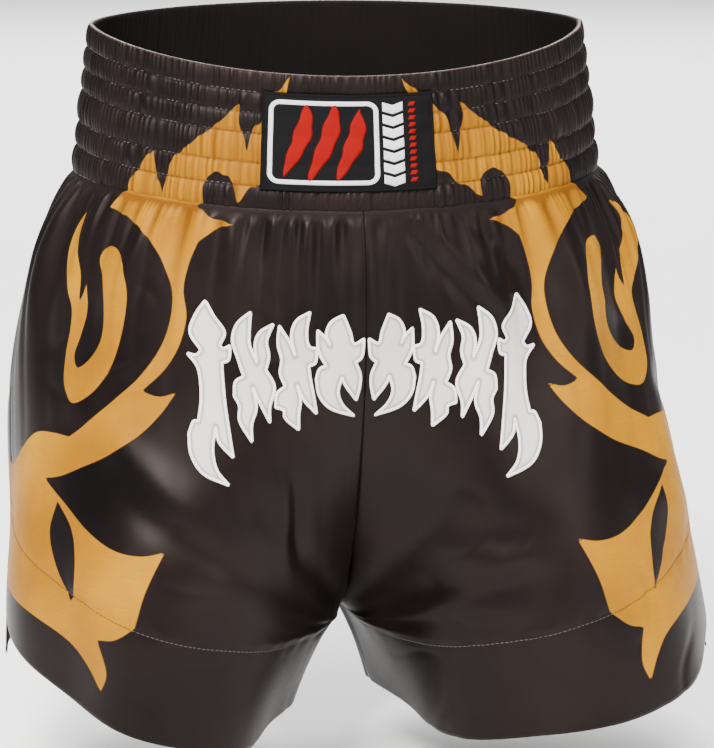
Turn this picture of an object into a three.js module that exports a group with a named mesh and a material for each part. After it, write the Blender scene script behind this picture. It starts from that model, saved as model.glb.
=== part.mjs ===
// Thai boxing shorts: four satin panels hung from a gathered waistband with six elastics,
// faced hems with open side vents, a woven front patch and an arch of sewn-on flames.
// Millimetres, +Z up. The front faces -Y and the wearer's left is +X.
// The origin is the centre of the waist opening, level with the rim at the two sides.
import * as THREE from "three";

// ---------------------------------------------------------------- driving dimensions

const RIM = { halfWidth: 152, halfDepth: 100, frontDip: 24, backRise: 5 };
const WAIST_SEAM = { halfWidth: 163, halfDepth: 112, frontDip: 14, backRise: 5 };
const CHANNEL_HEIGHTS = [13.5, 13.5, 13, 19.5, 14.5, 16];

const HIP_FLARE = { side: 32, front: 12, back: 14, over: 42 };
const FLARE_PER_MM = { side: 0.08, front: 0.02, back: 0.01 };
const RISE = 279;
const INSEAM = 59;
const HEM_RISE_AT_SIDE = { front: 76, back: 36 };
const LEG_GAP = 52;
const LEG_FORWARD = 22;
const CROTCH_BACK = 14;
const FORK_START = 0.22;
const FORK_END = 0.8;
const FORK_EASE = 1.6;

const SATIN = 1.6;
const FACING = 0.8;
const CASING_WALL = 0.8;
const ELASTIC = 1.2;
const ELASTIC_MARGIN = 1;
const CHANNEL_BULGE = 1.7;
const CROWN = { from: 0.32, to: 0.68 };
const TUCK = 8;
const GAP = 0.3;
const TRIM_GAP = 0.6;

const FACING_DEPTH = 62;
const STITCH = { width: 1.2, thickness: 0.5, fromEdge: 2, overValley: 0.35 };

const PATCH = { thickness: 1.0, centreX: -8, topChannel: 1, overRow: 1, margin: 3.5, sideMargin: 4 };
const PATCH_FRAME = { width: 66, height: 55, corner: 6, stroke: 3, raise: 0.6 };
const EMBLEM = { bars: 3, width: 9, pitch: 15, height: 34, lean: 8, raise: 0.6 };
const COLUMN = { gap: 4.5, white: 9, between: 3.25, red: 3.5, redShorter: 4, sideMargin: 13.75, raise: 0.6 };

// Flames stand in an arch across the front, four on each leg, the outer ones the longest.
// top and bottom: height above and below the arch's line; sway: how far the middle bows
// outwards; drop: how far the flame is lowered.
const ARCH_DROP = 107;
const FLAME = { width: 18, thickness: 0.9, edging: 1.8, edgingGap: 0.8, edgingRaise: 0.5, tip: 0.6 };
const FLAME_APART = 2.8;
const FLAME_FROM_CENTRE = 4.4;
const FLAMES = [
  { name: "inner", top: 33, bottom: -28, sway: 5, drop: 0 },
  { name: "second", top: 35, bottom: -32, sway: 5, drop: 1 },
  { name: "third", top: 36, bottom: -36, sway: 5, drop: 2 },
  { name: "outer", top: 46, bottom: -58, sway: 6, drop: 6 },
];

const RING_STEPS = 48;
const PANEL_STEPS = { across: RING_STEPS / 4, down: 17 };
const FLAME_STEPS = 11;

// ---------------------------------------------------------------- materials

const satinBlack = { color: 0x2e2629, roughness: 0.38, metalness: 0 };
const FINISHES = {
  satin: satinBlack,
  facing: { ...satinBlack, roughness: 0.5 },
  elastic: { color: 0xd8d4cc, roughness: 0.85, metalness: 0 },
  thread: { color: 0x6a5a58, roughness: 0.7, metalness: 0 },
  patch: { color: 0x1c1b1d, roughness: 0.6, metalness: 0 },
  white: { color: 0xece4e4, roughness: 0.55, metalness: 0 },
  red: { color: 0xc41a10, roughness: 0.6, metalness: 0 },
};

const shorts = new THREE.Group();

function addPiece(name, finish, geometry) {
  const mesh = new THREE.Mesh(
    facingOut(geometry),
    new THREE.MeshStandardMaterial(FINISHES[finish]),
  );
  mesh.name = name;
  shorts.add(mesh);
  return mesh;
}

// ---------------------------------------------------------------- small helpers

const clamp01 = (x) => Math.min(1, Math.max(0, x));
const mix = (a, b, t) => a + (b - a) * t;
const sum = (list) => list.reduce((total, x) => total + x, 0);

function smooth(from, to, x) {
  const t = clamp01((x - from) / (to - from));
  return t * t * (3 - 2 * t);
}

// Turns every face round if the solid's signed volume is negative.
function facingOut(geometry) {
  const flat = geometry.index ? geometry.toNonIndexed() : geometry;
  const p = flat.getAttribute("position");
  const [a, b, c] = [new THREE.Vector3(), new THREE.Vector3(), new THREE.Vector3()];
  let volume = 0;
  for (let i = 0; i < p.count; i += 3) {
    a.fromBufferAttribute(p, i);
    b.fromBufferAttribute(p, i + 1);
    c.fromBufferAttribute(p, i + 2);
    volume += a.dot(b.cross(c));
  }
  const out = new THREE.BufferGeometry().setAttribute("position", p);
  if (volume < 0) {
    for (let i = 0; i < p.count; i += 3) {
      b.fromBufferAttribute(p, i + 1);
      c.fromBufferAttribute(p, i + 2);
      p.setXYZ(i + 1, c.x, c.y, c.z);
      p.setXYZ(i + 2, b.x, b.y, b.z);
    }
  }
  out.computeVertexNormals();
  return out;
}

// ---------------------------------------------------------------- the waistband surface

const BAND_HEIGHT = sum(CHANNEL_HEIGHTS);
const FRONT_DROP = RISE + INSEAM;

// Height of the rim or the waist seam over its own level at the sides, at an angle round the
// waist: 0 at the centre front, PI at the centre back.
function edgeHeight(edge, angle) {
  const c = Math.cos(angle);
  return c > 0 ? -edge.frontDip * c ** 1.5 : edge.backRise * (-c) ** 1.5;
}

const seamHeight = (angle) => edgeHeight(WAIST_SEAM, angle);

// A point of the waistband's middle surface, a drop below the rim measured at the sides.
function bandPoint(angle, drop) {
  const t = drop / BAND_HEIGHT;
  return new THREE.Vector3(
    mix(RIM.halfWidth, WAIST_SEAM.halfWidth, t) * Math.sin(angle),
    -mix(RIM.halfDepth, WAIST_SEAM.halfDepth, t) * Math.cos(angle),
    mix(edgeHeight(RIM, angle), seamHeight(angle), t) - drop,
  );
}

// The outward normal of a surface of two parameters, by central differences.
function normalOf(surface, a, b, step) {
  const da = surface(a + step, b).sub(surface(a - step, b));
  const db = surface(a, b + step).sub(surface(a, b - step));
  return da.cross(db).normalize();
}

function bandNormal(angle, drop) {
  const n = normalOf(bandPoint, angle, drop, 0.01);
  return n.dot(new THREE.Vector3(Math.sin(angle), -Math.cos(angle), 0)) < 0 ? n.negate() : n;
}

// ---------------------------------------------------------------- the body surface

// Half width and half depth of the body at a drop below the waist seam.
function flareAt(drop, side) {
  const hip = 1 - Math.exp(-Math.max(0, drop) / HIP_FLARE.over);
  return HIP_FLARE[side] * hip + FLARE_PER_MM[side] * drop;
}

// Drop of the hem below the waist seam: u runs from the inseam (0) to the side seam (1).
function hemDrop(u, half) {
  const rise = half === "back" ? smooth(0, 0.8, u) : clamp01((u - 0.3) / 0.7) ** 1.5;
  return FRONT_DROP - HEM_RISE_AT_SIDE[half] * rise;
}

const waistAngleOf = (half, u) => (half === "front" ? u : 2 - u) * (Math.PI / 2);

// A point of the left front or left back panel. u runs across from the centre seam and the
// inseam (0) to the side seam (1), v down from the waist seam (0) to the hem (1).
// Each row is an arc of an ellipse that ends at the side seam. On the hips it starts at the
// centre seam, a quarter turn away. Down the fork the start swings in under the body, so the
// centre seam is itself a quarter ellipse in the centre plane, and round the leg the row is
// half a turn, from the inseam to the side seam.
function panelPoint(half, u, v) {
  const waistAngle = waistAngleOf(half, u);
  if (v < 0) return bandPoint(waistAngle, BAND_HEIGHT * (1 + v));
  const swing = clamp01((v - FORK_START) / (FORK_END - FORK_START)) ** FORK_EASE * (Math.PI / 2);

  const open = seamHeight(waistAngle) * (1 - v) - hemDrop(u, half) * v;
  const seamTop = seamHeight(half === "front" ? 0 : Math.PI);
  const forkTop = seamTop * (1 - FORK_START) - FRONT_DROP * FORK_START;
  let seam = open;
  if (v >= FORK_START) seam = mix(forkTop, -RISE, Math.sin(swing));
  if (v >= FORK_END) seam = mix(-RISE, -FRONT_DROP, (v - FORK_END) / (1 - FORK_END));
  const drop = -mix(seam, open, smooth(0, 0.45, u));

  const width = WAIST_SEAM.halfWidth + flareAt(drop, "side");
  const depth = WAIST_SEAM.halfDepth + flareAt(drop, half);
  const inner = (LEG_GAP / 2) * clamp01((v - FORK_END) / (1 - FORK_END)) ** 0.8;
  const start = Math.PI / 2 - swing;
  const turn = mix(start, Math.PI, u);
  const radius = (width - inner) / (1 + Math.cos(start));
  const x = width - radius * (1 + Math.cos(turn));
  const y = -depth * Math.sin(turn);

  const level = clamp01(drop / FRONT_DROP);
  const away = smooth(0, 0.5, u);
  const lean = CROTCH_BACK * level ** 3 * (1 - away);
  const forward = LEG_FORWARD * smooth(0, 1, level) * away;
  return new THREE.Vector3(x, (half === "front" ? y : -y) + lean - forward, -BAND_HEIGHT - drop);
}

// The same surface's normal, pointing away from the wearer.
function panelNormal(half, u, v) {
  const a = Math.min(0.985, Math.max(0.015, u));
  const b = Math.min(0.985, v);
  const n = normalOf((p, q) => panelPoint(half, p, q), a, b, 0.01);
  return half === "front" ? n.negate() : n;
}

// A point at a distance from the panel's middle surface, kept clear of the centre plane.
function onPanel(side, half, u, v, offset) {
  const p = panelPoint(half, u, v).addScaledVector(panelNormal(half, u, v), offset);
  p.x = side * Math.max(p.x, GAP / 2);
  return p;
}

// ---------------------------------------------------------------- plates and rings

// A thin closed plate: a box of nu x nv cells bent by place(u, v, w), with w from 0 to 1
// through its thickness.
function bentPlate(nu, nv, place) {
  const geometry = new THREE.BoxGeometry(1, 1, 1, nu, nv, 1);
  const p = geometry.getAttribute("position");
  for (let i = 0; i < p.count; i += 1) {
    const q = place(p.getX(i) + 0.5, 0.5 - p.getY(i), p.getZ(i) + 0.5);
    p.setXYZ(i, q.x, q.y, q.z);
  }
  return geometry;
}

// A closed ring: a lathed profile of [offset, drop] pairs bent by place(angle, offset, drop).
function bentRing(profile, steps, place) {
  const radius = 100;
  const closed = [...profile, profile[0]];
  const points = closed.map(([offset, drop]) => new THREE.Vector2(radius + offset, -drop));
  const geometry = new THREE.LatheGeometry(points, steps);
  const p = geometry.getAttribute("position");
  const perTurn = closed.length;
  for (let i = 0; i < p.count; i += 1) {
    const turn = Math.floor(i / perTurn) % steps;
    const [offset, drop] = closed[i % perTurn];
    const q = place((turn / steps) * 2 * Math.PI, offset, drop);
    p.setXYZ(i, q.x, q.y, q.z);
  }
  return geometry;
}

function onBand(angle, offset, drop) {
  return bandPoint(angle, drop).addScaledVector(bandNormal(angle, drop), offset);
}

function rectangle(inner, outer, top, bottom) {
  return [
    [inner, top],
    [outer, top],
    [outer, bottom],
    [inner, bottom],
  ];
}

// ---------------------------------------------------------------- waistband

const wallInside = Math.max(SATIN, ELASTIC) / 2 + GAP;
const wallOutside = wallInside + CASING_WALL;
const rowDrops = CHANNEL_HEIGHTS.map((_, i) => sum(CHANNEL_HEIGHTS.slice(0, i)));
rowDrops.push(BAND_HEIGHT);

// One strip folded over at the rim, open below, its outside bulging over each elastic.
function casingProfile() {
  const profile = [[wallInside, BAND_HEIGHT]];
  for (let i = CHANNEL_HEIGHTS.length - 1; i >= 0; i -= 1) {
    const height = CHANNEL_HEIGHTS[i];
    const crown = wallOutside + CHANNEL_BULGE * Math.sqrt(height / Math.max(...CHANNEL_HEIGHTS));
    profile.push([wallOutside, rowDrops[i + 1]]);
    profile.push([crown, rowDrops[i] + height * CROWN.to]);
    profile.push([crown, rowDrops[i] + height * CROWN.from]);
  }
  profile.push([wallOutside, 0], [-wallOutside, 0]);
  profile.push([-wallOutside, BAND_HEIGHT], [-wallInside, BAND_HEIGHT]);
  profile.push([-wallInside, CASING_WALL], [wallInside, CASING_WALL]);
  return profile;
}

addPiece("waistband_casing", "satin", bentRing(casingProfile(), RING_STEPS, onBand));

// The lowest channel also holds the tucked-in edge of the panels, so its elastic is shorter.
CHANNEL_HEIGHTS.forEach((height, i) => {
  const isLowest = i === CHANNEL_HEIGHTS.length - 1;
  const top = rowDrops[i] + ELASTIC_MARGIN + (i === 0 ? CASING_WALL : 0);
  const bottom = rowDrops[i] + height - ELASTIC_MARGIN - (isLowest ? TUCK : 0);
  const profile = rectangle(-ELASTIC / 2, ELASTIC / 2, top, bottom);
  addPiece(`waist_elastic_${i + 1}`, "elastic", bentRing(profile, RING_STEPS, onBand));
});

// Thread rows lie in the valleys between the channels, over the outside of the casing.
for (let row = 1; row < CHANNEL_HEIGHTS.length; row += 1) {
  const base = wallOutside + GAP + STITCH.overValley;
  const profile = rectangle(
    base,
    base + STITCH.thickness,
    rowDrops[row] - STITCH.width / 2,
    rowDrops[row] + STITCH.width / 2,
  );
  addPiece(`waist_stitch_row_${row}`, "thread", bentRing(profile, RING_STEPS, onBand));
}

// ---------------------------------------------------------------- panels and hem facings

const SIDES = [
  ["left", 1],
  ["right", -1],
];
const HALVES = ["front", "back"];

// Half of the slit between two panels, as a share of a panel's width, which is at least this
// many waist half widths where it is tucked in and where it hangs.
const PANEL_WIDTHS = { tucked: 1.4, hanging: 1.9 };
function seamTrim(v) {
  return GAP / (WAIST_SEAM.halfWidth * (v < 0 ? PANEL_WIDTHS.tucked : PANEL_WIDTHS.hanging));
}
const across = (u, v) => mix(seamTrim(v), 1 - seamTrim(v), u);

// Share of a panel's length, from 0 at the top of its tucked-in edge to 1 at the hem.
const tuckV = -TUCK / BAND_HEIGHT;
function downPanel(t) {
  const first = 1 / PANEL_STEPS.down;
  return t < first ? mix(tuckV, 0, t / first) : (t - first) / (1 - first);
}

// Where a line a fixed depth above the hem crosses the panel.
function aboveHem(u, half, depth) {
  const length = hemDrop(u, half) + seamHeight(waistAngleOf(half, u));
  return 1 - depth / length;
}

for (const [sideName, side] of SIDES) {
  for (const half of HALVES) {
    addPiece(
      `${half}_${sideName}_panel`,
      "satin",
      bentPlate(PANEL_STEPS.across, PANEL_STEPS.down, (u, v, w) => {
        const row = downPanel(v);
        return onPanel(side, half, across(u, row), row, (w - 0.5) * SATIN);
      }),
    );
    addPiece(
      `${half}_${sideName}_hem_facing`,
      "facing",
      bentPlate(PANEL_STEPS.across, 3, (u, v, w) => {
        const a = across(u, 1);
        const row = mix(aboveHem(a, half, FACING_DEPTH), 1, v);
        return onPanel(side, half, a, row, -SATIN / 2 - TRIM_GAP - (1 - w) * FACING);
      }),
    );
    addPiece(
      `${half}_${sideName}_hem_stitching`,
      "thread",
      bentPlate(PANEL_STEPS.across, 1, (u, v, w) => {
        const a = across(u, 1);
        const depth = FACING_DEPTH - STITCH.fromEdge - v * STITCH.width;
        return onPanel(
          side,
          half,
          a,
          aboveHem(a, half, depth),
          SATIN / 2 + TRIM_GAP + w * STITCH.thickness,
        );
      }),
    );
  }
}

// ---------------------------------------------------------------- front patch

// A place on the front of the waistband, x along it from the centre front.
const patchAngle = (x) => x / ((RIM.halfWidth + WAIST_SEAM.halfWidth) / 2);
const patchBack = wallOutside + CHANNEL_BULGE + TRIM_GAP;
const patchTop = rowDrops[PATCH.topChannel] - PATCH.overRow;
const columnsWidth = COLUMN.gap + COLUMN.white + COLUMN.between + COLUMN.red;
const patchWidth = PATCH.sideMargin + PATCH_FRAME.width + columnsWidth + COLUMN.sideMargin;
const patchHeight = PATCH_FRAME.height + 2 * PATCH.margin;

function onPatch(x, drop, offset) {
  const middle = patchTop + patchHeight / 2;
  return onBand(patchAngle(PATCH.centreX + x), patchBack + offset, middle + drop);
}

function patchPlate(x, drop, width, height, from, thickness, nu, nv) {
  return bentPlate(nu, nv, (u, v, w) =>
    onPatch(x + (u - 0.5) * width, drop + (v - 0.5) * height, from + w * thickness),
  );
}

addPiece(
  "patch_base",
  "patch",
  patchPlate(0, 0, patchWidth, patchHeight, 0, PATCH.thickness, 12, 4),
);

const onPatchFace = PATCH.thickness + GAP;
const frameX = -patchWidth / 2 + PATCH.sideMargin + PATCH_FRAME.width / 2;

// A point of a rounded rectangle's outline at a turn from 0 to 1.
function roundedRectangle(width, height, corner, turn) {
  const shape = new THREE.Shape();
  const [x, y] = [width / 2, height / 2];
  shape.moveTo(-x + corner, -y);
  shape.lineTo(x - corner, -y);
  shape.absarc(x - corner, -y + corner, corner, -Math.PI / 2, 0);
  shape.lineTo(x, y - corner);
  shape.absarc(x - corner, y - corner, corner, 0, Math.PI / 2);
  shape.lineTo(-x + corner, y);
  shape.absarc(-x + corner, y - corner, corner, Math.PI / 2, Math.PI);
  shape.lineTo(-x, -y + corner);
  shape.absarc(-x + corner, -y + corner, corner, Math.PI, 1.5 * Math.PI);
  return shape.getPointAt(turn);
}

const frameProfile = rectangle(0, PATCH_FRAME.stroke, 0, PATCH_FRAME.raise);
addPiece(
  "patch_frame",
  "white",
  bentRing(frameProfile, 40, (angle, inset, height) => {
    const q = roundedRectangle(
      PATCH_FRAME.width - 2 * inset,
      PATCH_FRAME.height - 2 * inset,
      Math.max(PATCH_FRAME.corner - inset, 1),
      angle / (2 * Math.PI),
    );
    return onPatch(frameX + q.x, -q.y, onPatchFace + height);
  }),
);

// The emblem: three leaning bars of one width, side by side inside the frame.
for (let i = 0; i < EMBLEM.bars; i += 1) {
  const centre = frameX + (i - (EMBLEM.bars - 1) / 2) * EMBLEM.pitch;
  addPiece(
    `patch_emblem_bar_${i + 1}`,
    "red",
    bentPlate(2, 3, (u, v, w) => {
      const x = centre + (u - 0.5) * EMBLEM.width - (v - 0.5) * EMBLEM.lean;
      return onPatch(x, (v - 0.5) * EMBLEM.height, onPatchFace + w * EMBLEM.raise);
    }),
  );
}

// Two plain woven columns beside the frame.
const whiteX = frameX + PATCH_FRAME.width / 2 + COLUMN.gap + COLUMN.white / 2;
const redX = whiteX + COLUMN.white / 2 + COLUMN.between + COLUMN.red / 2;
const redHeight = PATCH_FRAME.height - COLUMN.redShorter;
const COLUMNS = [
  ["patch_white_column", "white", whiteX, COLUMN.white, PATCH_FRAME.height],
  ["patch_red_column", "red", redX, COLUMN.red, redHeight],
];
for (const [name, finish, x, width, height] of COLUMNS) {
  addPiece(
    name,
    finish,
    patchPlate(x, 0, width, height, onPatchFace, COLUMN.raise, 1, 4),
  );
}

// ---------------------------------------------------------------- flame appliques

// The panel place (u, v) whose point lies at a given x and z, found by a few secant steps.
function placeOnFront(x, z) {
  const step = 0.005;
  let [u, v] = [0.3, 0.3];
  for (let i = 0; i < 14; i += 1) {
    const here = panelPoint("front", u, v);
    const du = panelPoint("front", u + step, v).sub(here).divideScalar(step);
    const dv = panelPoint("front", u, v + step).sub(here).divideScalar(step);
    const det = du.x * dv.z - dv.x * du.z;
    const [ex, ez] = [x - here.x, z - here.z];
    u = Math.min(0.95, Math.max(0.004, u + (ex * dv.z - ez * dv.x) / det));
    v = Math.min(0.95, Math.max(0.01, v + (ez * du.x - ex * du.z) / det));
  }
  return [u, v];
}

// A flame's middle at its widest, from the centre line: each stands clear of the next one's
// edging.
const flameEdge = FLAME.width / 2 + FLAME.edgingGap + FLAME.edging;
const flameX = (rank) => FLAME_FROM_CENTRE + flameEdge + rank * (2 * flameEdge + FLAME_APART);

// A point of a flame's leaf: t runs from its top (0) to its bottom (1), s across from -1 to 1.
function flamePoint(flame, rank, s, t, grow) {
  const height = mix(flame.top + grow, flame.bottom - grow, t) - flame.drop;
  const swell = Math.sin(Math.PI * t ** 0.85) ** 0.7;
  const halfWidth = FLAME.tip + (FLAME.width / 2 - FLAME.tip) * swell + grow;
  const bow = flame.sway * Math.sin(2 * Math.PI * t);
  return [flameX(rank) + bow + s * halfWidth, height - BAND_HEIGHT - ARCH_DROP];
}

const flameBack = SATIN / 2 + TRIM_GAP;
const edgingHeight = FLAME.thickness + FLAME.edgingRaise;
const edgingProfile = rectangle(
  FLAME.edgingGap,
  FLAME.edgingGap + FLAME.edging,
  0,
  edgingHeight,
);
for (const [sideName, side] of SIDES) {
  FLAMES.forEach((flame, rank) => {
    const lay = (s, t, grow, offset) => {
      const [x, z] = flamePoint(flame, rank, s, t, grow);
      const [u, v] = placeOnFront(x, z);
      return onPanel(side, "front", u, v, flameBack + offset);
    };
    addPiece(
      `flame_${flame.name}_${sideName}`,
      "white",
      bentPlate(3, FLAME_STEPS, (u, v, w) => {
        const t = (1 - Math.cos(v * Math.PI)) / 2;
        return lay(u * 2 - 1, t, 0, w * FLAME.thickness);
      }),
    );
    addPiece(
      `flame_${flame.name}_${sideName}_edging`,
      "white",
      bentRing(edgingProfile, 2 * FLAME_STEPS, (angle, grow, raise) => {
        const t = (1 - Math.cos(angle)) / 2;
        const isTip = Math.abs(Math.sin(angle)) < 1e-6;
        return lay(isTip ? 0 : Math.sign(Math.sin(angle)), t, grow, raise);
      }),
    );
  });
}

export default shorts;
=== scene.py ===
"""Looks of a pair of Thai boxing shorts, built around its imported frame.

Sizes are in millimetres until a mesh is made, and metres after that. The front faces -Y, +Z is
up and the wearer's left is +X. Round the waist, an angle runs from 0 at the centre front to PI
at the centre back, positive on the wearer's left.
"""

import logging
import math
from collections.abc import Callable, Sequence
from dataclasses import dataclass, field
from enum import Enum

import bpy
import numpy as np
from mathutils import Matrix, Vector
from mathutils.geometry import delaunay_2d_cdt


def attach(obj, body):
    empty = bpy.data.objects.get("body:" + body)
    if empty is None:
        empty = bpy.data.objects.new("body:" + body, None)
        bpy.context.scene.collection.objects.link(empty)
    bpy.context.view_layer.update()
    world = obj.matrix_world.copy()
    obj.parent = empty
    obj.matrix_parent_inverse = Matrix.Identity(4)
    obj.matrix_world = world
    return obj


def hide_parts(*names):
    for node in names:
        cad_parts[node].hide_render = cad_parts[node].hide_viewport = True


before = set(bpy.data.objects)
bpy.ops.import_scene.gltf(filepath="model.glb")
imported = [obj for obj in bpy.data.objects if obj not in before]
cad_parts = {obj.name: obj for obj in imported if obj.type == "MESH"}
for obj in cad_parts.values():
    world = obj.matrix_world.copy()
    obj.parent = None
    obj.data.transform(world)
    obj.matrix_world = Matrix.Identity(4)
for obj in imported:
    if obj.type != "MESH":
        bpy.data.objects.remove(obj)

LOG = logging.getLogger("shorts")
MM = 0.001
BODY = "root"
Array = np.ndarray


class Side(Enum):
    """The wearer's side, with the sign of its X."""

    LEFT = 1
    RIGHT = -1

    @property
    def word(self) -> str:
        """The side's word in a piece's name."""
        return self.name.lower()


class Half(Enum):
    """Front or back of the garment, with the sign of its Y."""

    FRONT = -1
    BACK = 1

    @property
    def word(self) -> str:
        """The half's word in a piece's name."""
        return self.name.lower()


# ---------------------------------------------------------------- small numeric helpers


def clamp01(x: Array | float) -> Array:
    """x held between 0 and 1."""
    return np.clip(x, 0.0, 1.0)


def mix(a: Array | float, b: Array | float, t: Array | float) -> Array:
    """The value a share t of the way from a to b."""
    return a + (b - a) * t


def smooth(low: float, high: float, x: Array | float) -> Array:
    """A smooth step: 0 below low, 1 above high, with level ends."""
    t = clamp01((x - low) / (high - low))
    return t * t * (3 - 2 * t)


def bell(x: Array, width: float) -> Array:
    """A Gaussian of height 1 that falls to 0.37 at width."""
    return np.exp(-((x / width) ** 2))


def unit(v: Array) -> Array:
    """Vectors along the last axis, made one long."""
    return v / np.maximum(np.linalg.norm(v, axis=-1, keepdims=True), 1e-12)


def spline(points: Sequence[tuple[float, float]], per_span: int = 10) -> Array:
    """An open Catmull-Rom curve through points in the plane.

    Args:
        points: The points it passes through.
        per_span: Steps between two of them.

    Returns:
        The curve's points, the last one left out.
    """
    p = np.asarray(points, float)
    p = np.vstack([2 * p[0] - p[1], p, 2 * p[-1] - p[-2]])
    t = np.linspace(0, 1, per_span, endpoint=False)[None, :, None]
    a, b, c, d = (p[i : len(p) - 3 + i, None] for i in range(4))
    curve = 0.5 * (
        2 * b + (c - a) * t + (2 * a - 5 * b + 4 * c - d) * t**2 + (3 * b - a - 3 * c + d) * t**3
    )
    return curve.reshape(-1, 2)


def outline(runs: Sequence[Sequence[tuple[float, float]]]) -> Array:
    """A closed outline of smooth runs that meet at sharp corners, each starting where the last
    one ended."""
    return np.vstack([spline(run) for run in runs])


def signed_distance(x: Array, y: Array, polygon: Array) -> Array:
    """Distance to a closed polygon, positive inside: the least distance to any edge, with the
    sign of the even-odd rule.

    Args:
        x: Places across.
        y: Places along the other axis.
        polygon: Corners of the polygon.

    Returns:
        A distance for each place.
    """
    px, py = x.reshape(-1, 1), y.reshape(-1, 1)
    a, b = polygon, np.roll(polygon, -1, axis=0)
    ex, ey = b[:, 0] - a[:, 0], b[:, 1] - a[:, 1]
    t = clamp01(((px - a[:, 0]) * ex + (py - a[:, 1]) * ey) / np.maximum(ex**2 + ey**2, 1e-9))
    away = np.hypot(px - a[:, 0] - t * ex, py - a[:, 1] - t * ey).min(1)
    crosses = (a[:, 1] > py) != (b[:, 1] > py)
    with np.errstate(divide="ignore", invalid="ignore"):
        at = a[:, 0] + (py - a[:, 1]) * ex / np.where(ey == 0, 1e-9, ey)
    inside = (crosses & (px < at)).sum(1) % 2 == 1
    return np.where(inside, away, -away).reshape(x.shape)


@dataclass(frozen=True)
class RingNoise:
    """Irregular waves round the waist: a sum of cosines whose whole counts lie near one value.

    Attributes:
        waves: Waves round the waist.
        spread: How far the counts stray from it.
        seed: Seed of the counts and the phases.
    """

    waves: int
    spread: int
    seed: int

    def __call__(self, angle: Array) -> Array:
        """The wave height, about 1 at its usual crest, at each angle.

        Args:
            angle: Angle round the waist.

        Returns:
            A height for each angle.
        """
        rng = np.random.default_rng(self.seed)
        counts = rng.integers(self.waves - self.spread, self.waves + self.spread + 1, 14)
        phases = rng.uniform(0, 2 * np.pi, 14)
        total = np.zeros_like(angle)
        for count, phase in zip(counts, phases):
            total += np.cos(count * angle + phase)
        return total / math.sqrt(7)

    def crests(self, angle: Array) -> Array:
        """Wide crests at 1 between narrow valleys at -1, two to a wave: an even ring of waves
        whose phase and height a slower noise of the same kind throws about.

        Args:
            angle: Angle round the waist.

        Returns:
            A height for each angle.
        """
        slow = RingNoise(self.waves // 5, self.waves // 9, self.seed + 500)(angle)
        slower = RingNoise(self.waves // 9, self.waves // 14, self.seed + 900)(angle)
        wave = np.sin(self.waves * angle + 1.7 * slow + 1.2 * slower)
        return (1 - 2 * np.exp(-((1.7 * wave) ** 2))) * (0.8 + 0.25 * slow)


@dataclass(frozen=True)
class SpaceNoise:
    """Soft irregular swells in space: a sum of plane waves of about one length.

    Attributes:
        length: Wave length in mm.
        seed: Seed of the directions and the phases.
    """

    length: float
    seed: int

    def __call__(self, p: Array) -> Array:
        """The swell, about 1 at its usual crest, at each point.

        Args:
            p: The points.

        Returns:
            A height for each point.
        """
        rng = np.random.default_rng(self.seed)
        total = np.zeros(p.shape[:-1])
        for _ in range(18):
            way = unit(rng.normal(size=3)) * rng.uniform(0.75, 1.35) * 2 * np.pi / self.length
            total += np.cos(p @ way + rng.uniform(0, 2 * np.pi))
        return total / 3.0


# ---------------------------------------------------------------- the garment's surface


@dataclass(frozen=True)
class Fold:
    """One soft ridge or valley on the front, along a line on the cloth.

    Attributes:
        start, end: The line's ends: girth from the centre front (positive on the wearer's
            left) and fall below the waist seam.
        width: Half width across the line.
        height: Height of the ridge, negative for a valley.
    """

    start: tuple[float, float]
    end: tuple[float, float]
    width: float
    height: float

    def relief(self, girth: Array, fall: Array) -> Array:
        """A Gaussian across the line, fading at both ends.

        Args:
            girth, fall: Place on the flat cloth.

        Returns:
            The height at each place.
        """
        a, b = np.array(self.start), np.array(self.end)
        along = b - a
        length = float(np.hypot(*along))
        t = ((girth - a[0]) * along[0] + (fall - a[1]) * along[1]) / length
        across = ((girth - a[0]) * along[1] - (fall - a[1]) * along[0]) / length
        ends = smooth(-0.15 * length, 0.3 * length, t)
        ends = ends * (1 - smooth(0.7 * length, 1.15 * length, t))
        return self.height * bell(across, self.width) * ends


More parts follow.
